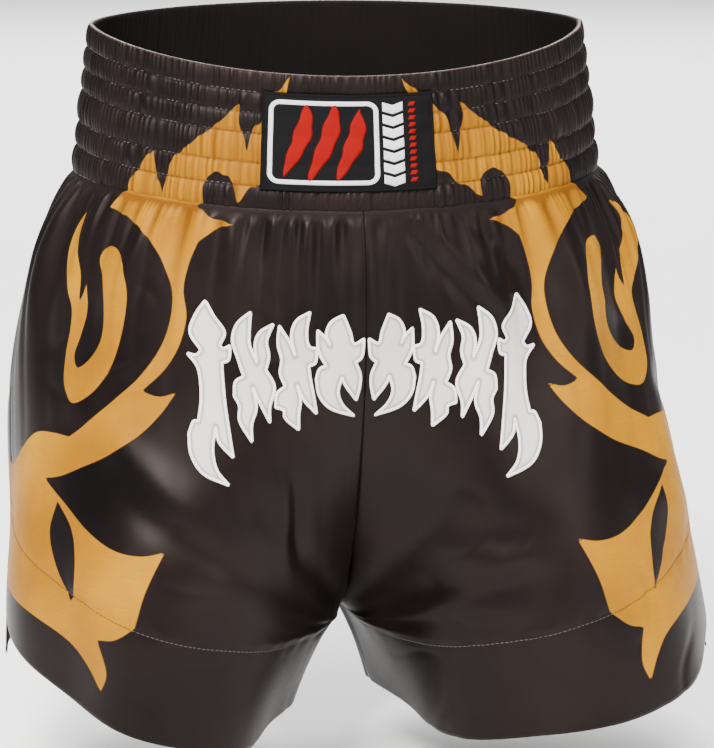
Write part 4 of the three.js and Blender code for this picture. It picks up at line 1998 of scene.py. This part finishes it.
@dataclass(frozen=True)
class FlameCut:
    """The cut of one stitched-on flame, in mm.

    Attributes:
        name: Its place in the arch.
        x: Its middle, from the centre front.
        runs: Its outline, clockwise from the top tip: across from its middle, outwards
            positive, and up from the arch's line. Runs meet at sharp tips and notches.
    """

    name: str
    x: float
    runs: tuple[Run, ...]

    @property
    def loop(self) -> Array:
        """The outline's points, from the centre front."""
        return outline(self.runs) + (self.x, 0)

    @property
    def area(self) -> float:
        """Area inside the outline in square metres, from the corners' cross products."""
        x, z = (self.loop * MM).T
        return float(abs(np.sum(x * np.roll(z, -1) - z * np.roll(x, -1))) / 2)

    def spread(self, step: float) -> tuple[Array, Array]:
        """The cut as triangles: its outline and a grid of points inside it.

        Args:
            step: Distance between the points.

        Returns:
            The points and the triangles.
        """
        rim = even_loop(self.loop, 300)
        low, high = rim.min(0), rim.max(0)
        x, z = np.meshgrid(np.arange(low[0], high[0], step), np.arange(low[1], high[1], step))
        x = x + (np.arange(len(x)) % 2)[:, None] * step / 2
        kept = signed_distance(x, z, rim) > step * 0.45
        points = np.vstack([rim, np.stack([x[kept], z[kept]], -1)])
        edges = [(i, (i + 1) % len(rim)) for i in range(len(rim))]
        flat = [Vector(point) for point in points.tolist()]
        made = delaunay_2d_cdt(flat, edges, [], 1, 1e-4)
        return np.array([tuple(v) for v in made[0]]), np.array(made[2])


@dataclass(frozen=True)
class FlameArch:
    """Eight white flames stitched over the front in an arch, each edged in satin stitch, in mm.

    Attributes:
        drape: The cloth that they lie on.
        line: Height of the arch's line.
        lift, thickness: How far they stand off the cloth, and their own thickness.
        step: Distance between the points inside a flame.
        edge_width, edge_height: Section of the satin stitch.
        cuts: The four flames of the wearer's left side, mirrored for the right.
    """

    drape: Drape
    line: float = -197
    lift: float = 0.55
    thickness: float = 0.55
    step: float = 1.0
    edge_width: float = 1.9
    edge_height: float = 0.85
    cuts: tuple[FlameCut, ...] = (
        FlameCut("inner", 15.5, (
            ((-2, 34), (5, 30), (8, 23), (6, 16)),
            ((6, 16), (8, 20), (13, 25)),
            ((13, 25), (13, 15), (11, 9), (8, 4)),
            ((8, 4), (12, 2), (14, -4)),
            ((14, -4), (12, -14), (5, -22), (-9, -27)),
            ((-9, -27), (-2, -20), (1, -12), (-1, -3)),
            ((-1, -3), (-4, -9), (-10, -17)),
            ((-10, -17), (-12, -8), (-12, -1), (-9, 6)),
            ((-9, 6), (-13, 10), (-14, 20)),
            ((-14, 20), (-8, 17), (-6, 24), (-2, 34)),
        )),
        FlameCut("second", 41, (
            ((-8, 36), (0, 31), (3, 22), (1, 10)),
            ((1, 10), (4, 18), (10, 28)),
            ((10, 28), (11, 17), (9, 8), (10, 0), (7, -8)),
            ((7, -8), (12, -12), (13, -20)),
            ((13, -20), (8, -22), (7, -27), (-1, -34)),
            ((-1, -34), (-1, -25), (-2, -16), (0, -7)),
            ((0, -7), (-4, -16), (-12, -25)),
            ((-12, -25), (-10, -14), (-8, -4), (-7, 4)),
            ((-7, 4), (-11, 6), (-12, 14)),
            ((-12, 14), (-7, 16), (-6, 25), (-8, 36)),
        )),
        FlameCut("third", 66.5, (
            ((1, 36), (9, 29), (12, 19), (9, 8), (6, -2)),
            ((6, -2), (11, -5), (12, -13)),
            ((12, -13), (9, -19), (9, -28), (2, -40)),
            ((2, -40), (2, -30), (-1, -20), (1, -8)),
            ((1, -8), (-3, -17), (-9, -29)),
            ((-9, -29), (-9, -20), (-12, -8), (-7, 2)),
            ((-7, 2), (-9, 10), (-8, 19), (-12, 29)),
            ((-12, 29), (-4, 24), (-1, 16), (-2, 6)),
            ((-2, 6), (2, 16), (2, 25), (1, 36)),
        )),
        FlameCut("outer", 91, (
            ((3, 42), (9, 33), (12, 23), (6, 13)),
            ((6, 13), (9, 10), (14, 11)),
            ((14, 11), (8, 2), (7, -14), (9, -28)),
            ((9, -28), (12, -28), (15, -35)),
            ((15, -35), (14, -47), (7, -58), (-8, -65)),
            ((-8, -65), (-1, -56), (1, -44), (-1, -31)),
            ((-1, -31), (-3, -40), (-11, -49)),
            ((-11, -49), (-9, -34), (-7, -18), (-6, -2), (-6, 6)),
            ((-6, 6), (-10, 8), (-11, 16)),
            ((-11, 16), (-7, 14), (-5, 16)),
            ((-5, 16), (-8, 24), (-2, 33), (3, 42)),
        )),
    )

    def lay(self, side: Side, x: Array, z: Array, offset: Array) -> Array:
        """Points over the front cloth at x and z, an offset proud of it."""
        u, v = self.drape.place(x, self.line + z)
        return self.drape.on_panel(side, Half.FRONT, u, v, offset)

    def cloth(self, cut: FlameCut, side: Side, dress: Wardrobe) -> bpy.types.Object:
        """The flame's own cloth as two layers, drawn down along its edge.

        Args:
            cut, side: Which flame.
            dress: The finishes.

        Returns:
            The cloth.
        """
        flat, faces = cut.spread(self.step)
        x, z = flat[:, 0], flat[:, 1]
        inside = signed_distance(x, z, cut.loop)
        top = self.lift + self.thickness * (0.5 + 0.5 * smooth(0, 3.5, inside))
        upper = self.lay(side, x, z, top)
        lower = self.lay(side, x, z, np.full(x.shape, self.lift - 0.2))
        made = Cloth.plate(upper, lower, faces, flat * MM)
        # Where the painted shadow line just inside the satin stitch lies.
        made.marks["seam"] = np.tile(bell(inside - 1.3, 0.7), 2)
        return made.object(f"flame_{cut.name}_{side.word}_cloth", dress.white_satin)

    def edging(self, cut: FlameCut, side: Side, dress: Wardrobe) -> bpy.types.Object:
        """A cord of satin stitch along the flame's whole outline.

        Args:
            cut, side: Which flame.
            dress: The finishes.

        Returns:
            The cord.
        """
        path = even_loop(cut.loop, 460)
        path = (2 * path + np.roll(path, 1, axis=0) + np.roll(path, -1, axis=0)) / 4
        low = self.lift + self.thickness * 0.4

        def onto(x: Array, z: Array, height: Array) -> Array:
            """The ribbon's lay on the cloth."""
            return self.lay(side, x, z, low + height)

        made = ribbon_along(path, self.edge_width, self.edge_height, onto)
        return made.object(f"flame_{cut.name}_{side.word}_satin_stitch", dress.white_edge)

    def build(self, dress: Wardrobe) -> list[bpy.types.Object]:
        """Four flames on each leg.

        Args:
            dress: The finishes.

        Returns:
            The pieces.
        """
        pieces = []
        for side in Side:
            for cut in self.cuts:
                cloth = self.cloth(cut, side, dress)
                edging = self.edging(cut, side, dress)
                node = f"flame_{cut.name}_{side.word}"
                for piece, name, slot in (
                    (cloth, node, "flame_white"),
                    (edging, f"{node}_edging", "edging_white"),
                ):
                    pieces.append(declare(piece, slot, name))
        return pieces


# ---------------------------------------------------------------- studio


@dataclass(frozen=True)
class Lamp:
    """A soft square light that looks at the studio's target.

    Attributes:
        name: The light's name.
        azimuth, elevation: Its direction from the target, in degrees.
        away: Its distance from the target in metres.
        size: The length of its edge in metres.
        power: Its power in watts.
        colour: Its colour.
    """

    name: str
    azimuth: float
    elevation: float
    away: float
    size: float
    power: float
    colour: Colour


@dataclass(frozen=True)
class Studio:
    """Pale floor, soft lights and the camera, in metres and degrees.

    Attributes:
        target: The point that the camera and the lights look at.
        azimuth, elevation, distance: The camera's place round the target.
        lens, sensor: The camera's focal length and the width of its sensor, in mm.
        shift: The picture's shift, as a share of its longer side.
        floor_height: Height of the floor.
        sky: Strength of the even light from all round.
        lamps: The lights.
    """

    target: tuple[float, float, float] = (0.0, 0.0, -0.215)
    azimuth: float = -8
    elevation: float = 11
    distance: float = 2.0
    lens: float = 152.1
    shift: tuple[float, float] = (0.027, -0.017)
    floor_height: float = -0.47
    sensor: float = 36
    sky: float = 0.5
    lamps: tuple[Lamp, ...] = (
        Lamp("key", -30, 46, 2.2, 0.8, 150, (1.0, 0.97, 0.94)),
        Lamp("fill", 38, 20, 2.4, 1.1, 34, (1.0, 0.97, 0.95)),
        Lamp("top", 15, 72, 2.2, 1.0, 48, (1.0, 1.0, 1.0)),
        Lamp("behind", 172, 40, 5.5, 4.5, 700, (1.0, 1.0, 1.0)),
    )

    def direction(self, azimuth: float, elevation: float) -> Vector:
        """From the target towards a place round it, in degrees."""
        a, e = math.radians(azimuth), math.radians(elevation)
        return Vector((math.sin(a) * math.cos(e), -math.cos(a) * math.cos(e), math.sin(e)))

    def floor(self) -> bpy.types.Object:
        """A wide level sheet under everything.

        Returns:
            The floor.
        """
        x, y = np.meshgrid(np.linspace(-14e3, 14e3, 3), np.linspace(-8e3, 20e3, 3), indexing="xy")
        points = np.stack([x, y, np.full(x.shape, self.floor_height / MM)], -1)
        g = Graph("pale_floor")
        grain = g.noise(g.place(), 3, 2)
        colour = g.blend(grain, (0.9, 0.9, 0.9), (0.93, 0.93, 0.93))
        paint = g.finish(Base_Color=colour, Roughness=0.9, Specular_IOR_Level=0.1)
        made = Cloth.grid(points).turned(np.broadcast_to((0.0, 0.0, 1.0), (9, 3)))
        return made.object("floor", paint)

    def aim(
        self, name: str, data: bpy.types.ID, place: tuple[float, float, float]
    ) -> bpy.types.Object:
        """Puts a lamp or a camera round the target, looking at it.

        Args:
            name: The object's name.
            data: The light or the camera.
            place: Azimuth, elevation and distance.

        Returns:
            The object.
        """
        azimuth, elevation, away = place
        made = bpy.data.objects.new(name, data)
        way = self.direction(azimuth, elevation)
        made.location = Vector(self.target) + way * away
        made.rotation_euler = way.to_track_quat("Z", "Y").to_euler()
        bpy.context.scene.collection.objects.link(made)
        return made

    def light(self, lamp: Lamp) -> None:
        """Adds one of the lights.

        Args:
            lamp: What it is and where it stands.
        """
        data = bpy.data.lights.new(lamp.name, "AREA")
        data.shape = "SQUARE"
        data.size = lamp.size
        data.energy = lamp.power
        data.color = lamp.colour
        self.aim(lamp.name, data, (lamp.azimuth, lamp.elevation, lamp.away))

    def build(self) -> None:
        """Sets up the floor, the lights, the sky and the camera."""
        self.floor()
        for lamp in self.lamps:
            self.light(lamp)
        world = bpy.data.worlds.new("studio")
        world.use_nodes = True
        sky = world.node_tree.nodes["Background"]
        sky.inputs["Color"].default_value = (1.0, 1.0, 1.0, 1.0)
        sky.inputs["Strength"].default_value = self.sky
        bpy.context.scene.world = world
        data = bpy.data.cameras.new("camera")
        data.lens = self.lens
        data.sensor_width = self.sensor
        data.shift_x, data.shift_y = self.shift
        place = (self.azimuth, self.elevation, self.distance)
        bpy.context.scene.camera = self.aim("camera", data, place)


FOLDS = (
    # Pleats that fan out under the waist seam.
    Fold((-70, 0), (-48, 70), 7, 2.0),
    Fold((-52, 0), (-40, 64), 5, -1.8),
    Fold((-28, 0), (-36, 96), 12, 2.6),
    Fold((-9, 4), (-18, 80), 6, -1.4),
    Fold((16, 0), (58, 66), 6, -2.8),
    Fold((25, 0), (72, 70), 6, 2.6),
    Fold((48, 0), (86, 52), 5, -1.6),
    Fold((98, 4), (118, 80), 7, 1.8),
    Fold((-104, 2), (-132, 70), 8, 2.2),
    Fold((-92, 2), (-112, 60), 6, -1.6),
    Fold((-150, 2), (-172, 90), 9, 2.0),
    Fold((176, 2), (188, 100), 8, 2.6),
    Fold((162, 2), (164, 70), 6, -2.2),
    Fold((-188, 2), (-196, 90), 8, 2.0),
    # Soft diagonals over the wearer's right leg.
    Fold((-150, 120), (-70, 190), 13, 2.2),
    Fold((-120, 175), (-60, 225), 11, -1.8),
    Fold((-96, 205), (-44, 262), 12, 2.0),
    Fold((-40, 150), (-44, 205), 5, 1.8),
    Fold((-34, 152), (-37, 200), 4, -1.6),
    # Creases across the wearer's left leg.
    Fold((22, 176), (96, 198), 10, -1.2),
    Fold((26, 190), (100, 214), 9, 1.2),
    Fold((30, 214), (92, 226), 8, -1.6),
    Fold((34, 232), (104, 246), 10, 1.8),
    Fold((120, 60), (150, 84), 6, 1.4),
    Fold((176, 120), (214, 150), 9, -1.8),
    Fold((150, 182), (200, 214), 10, 1.8),
    # Drag lines that run up from the fork.
    Fold((-4, 238), (-60, 160), 9, -2.2),
    Fold((-14, 262), (-86, 205), 10, 1.8),
    Fold((6, 236), (52, 150), 9, -1.8),
    Fold((16, 262), (88, 200), 10, 2.0),
)


def main() -> None:
    """Builds the shorts from the waist down, then the studio."""
    logging.basicConfig(level=logging.INFO, format="%(name)s %(message)s")
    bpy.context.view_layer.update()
    dress = Wardrobe.made()
    drape = Drape(folds=FOLDS)
    gold = FlamePrint()
    band = Waistband(drape, gold)
    groups = {
        "waistband": band.build(dress),
        "panels": Panels(drape, gold).build(dress),
        "patch": FrontPatch(band).build(dress),
        "flames": FlameArch(drape).build(dress),
    }
    for name, pieces in groups.items():
        for piece in pieces:
            faces = len(piece.data.polygons)
            LOG.info("%s: %s, %d faces, %.5f m2", name, piece.name, faces, area_of(piece))
    Studio().build()


if __name__ == "__main__":
    main()
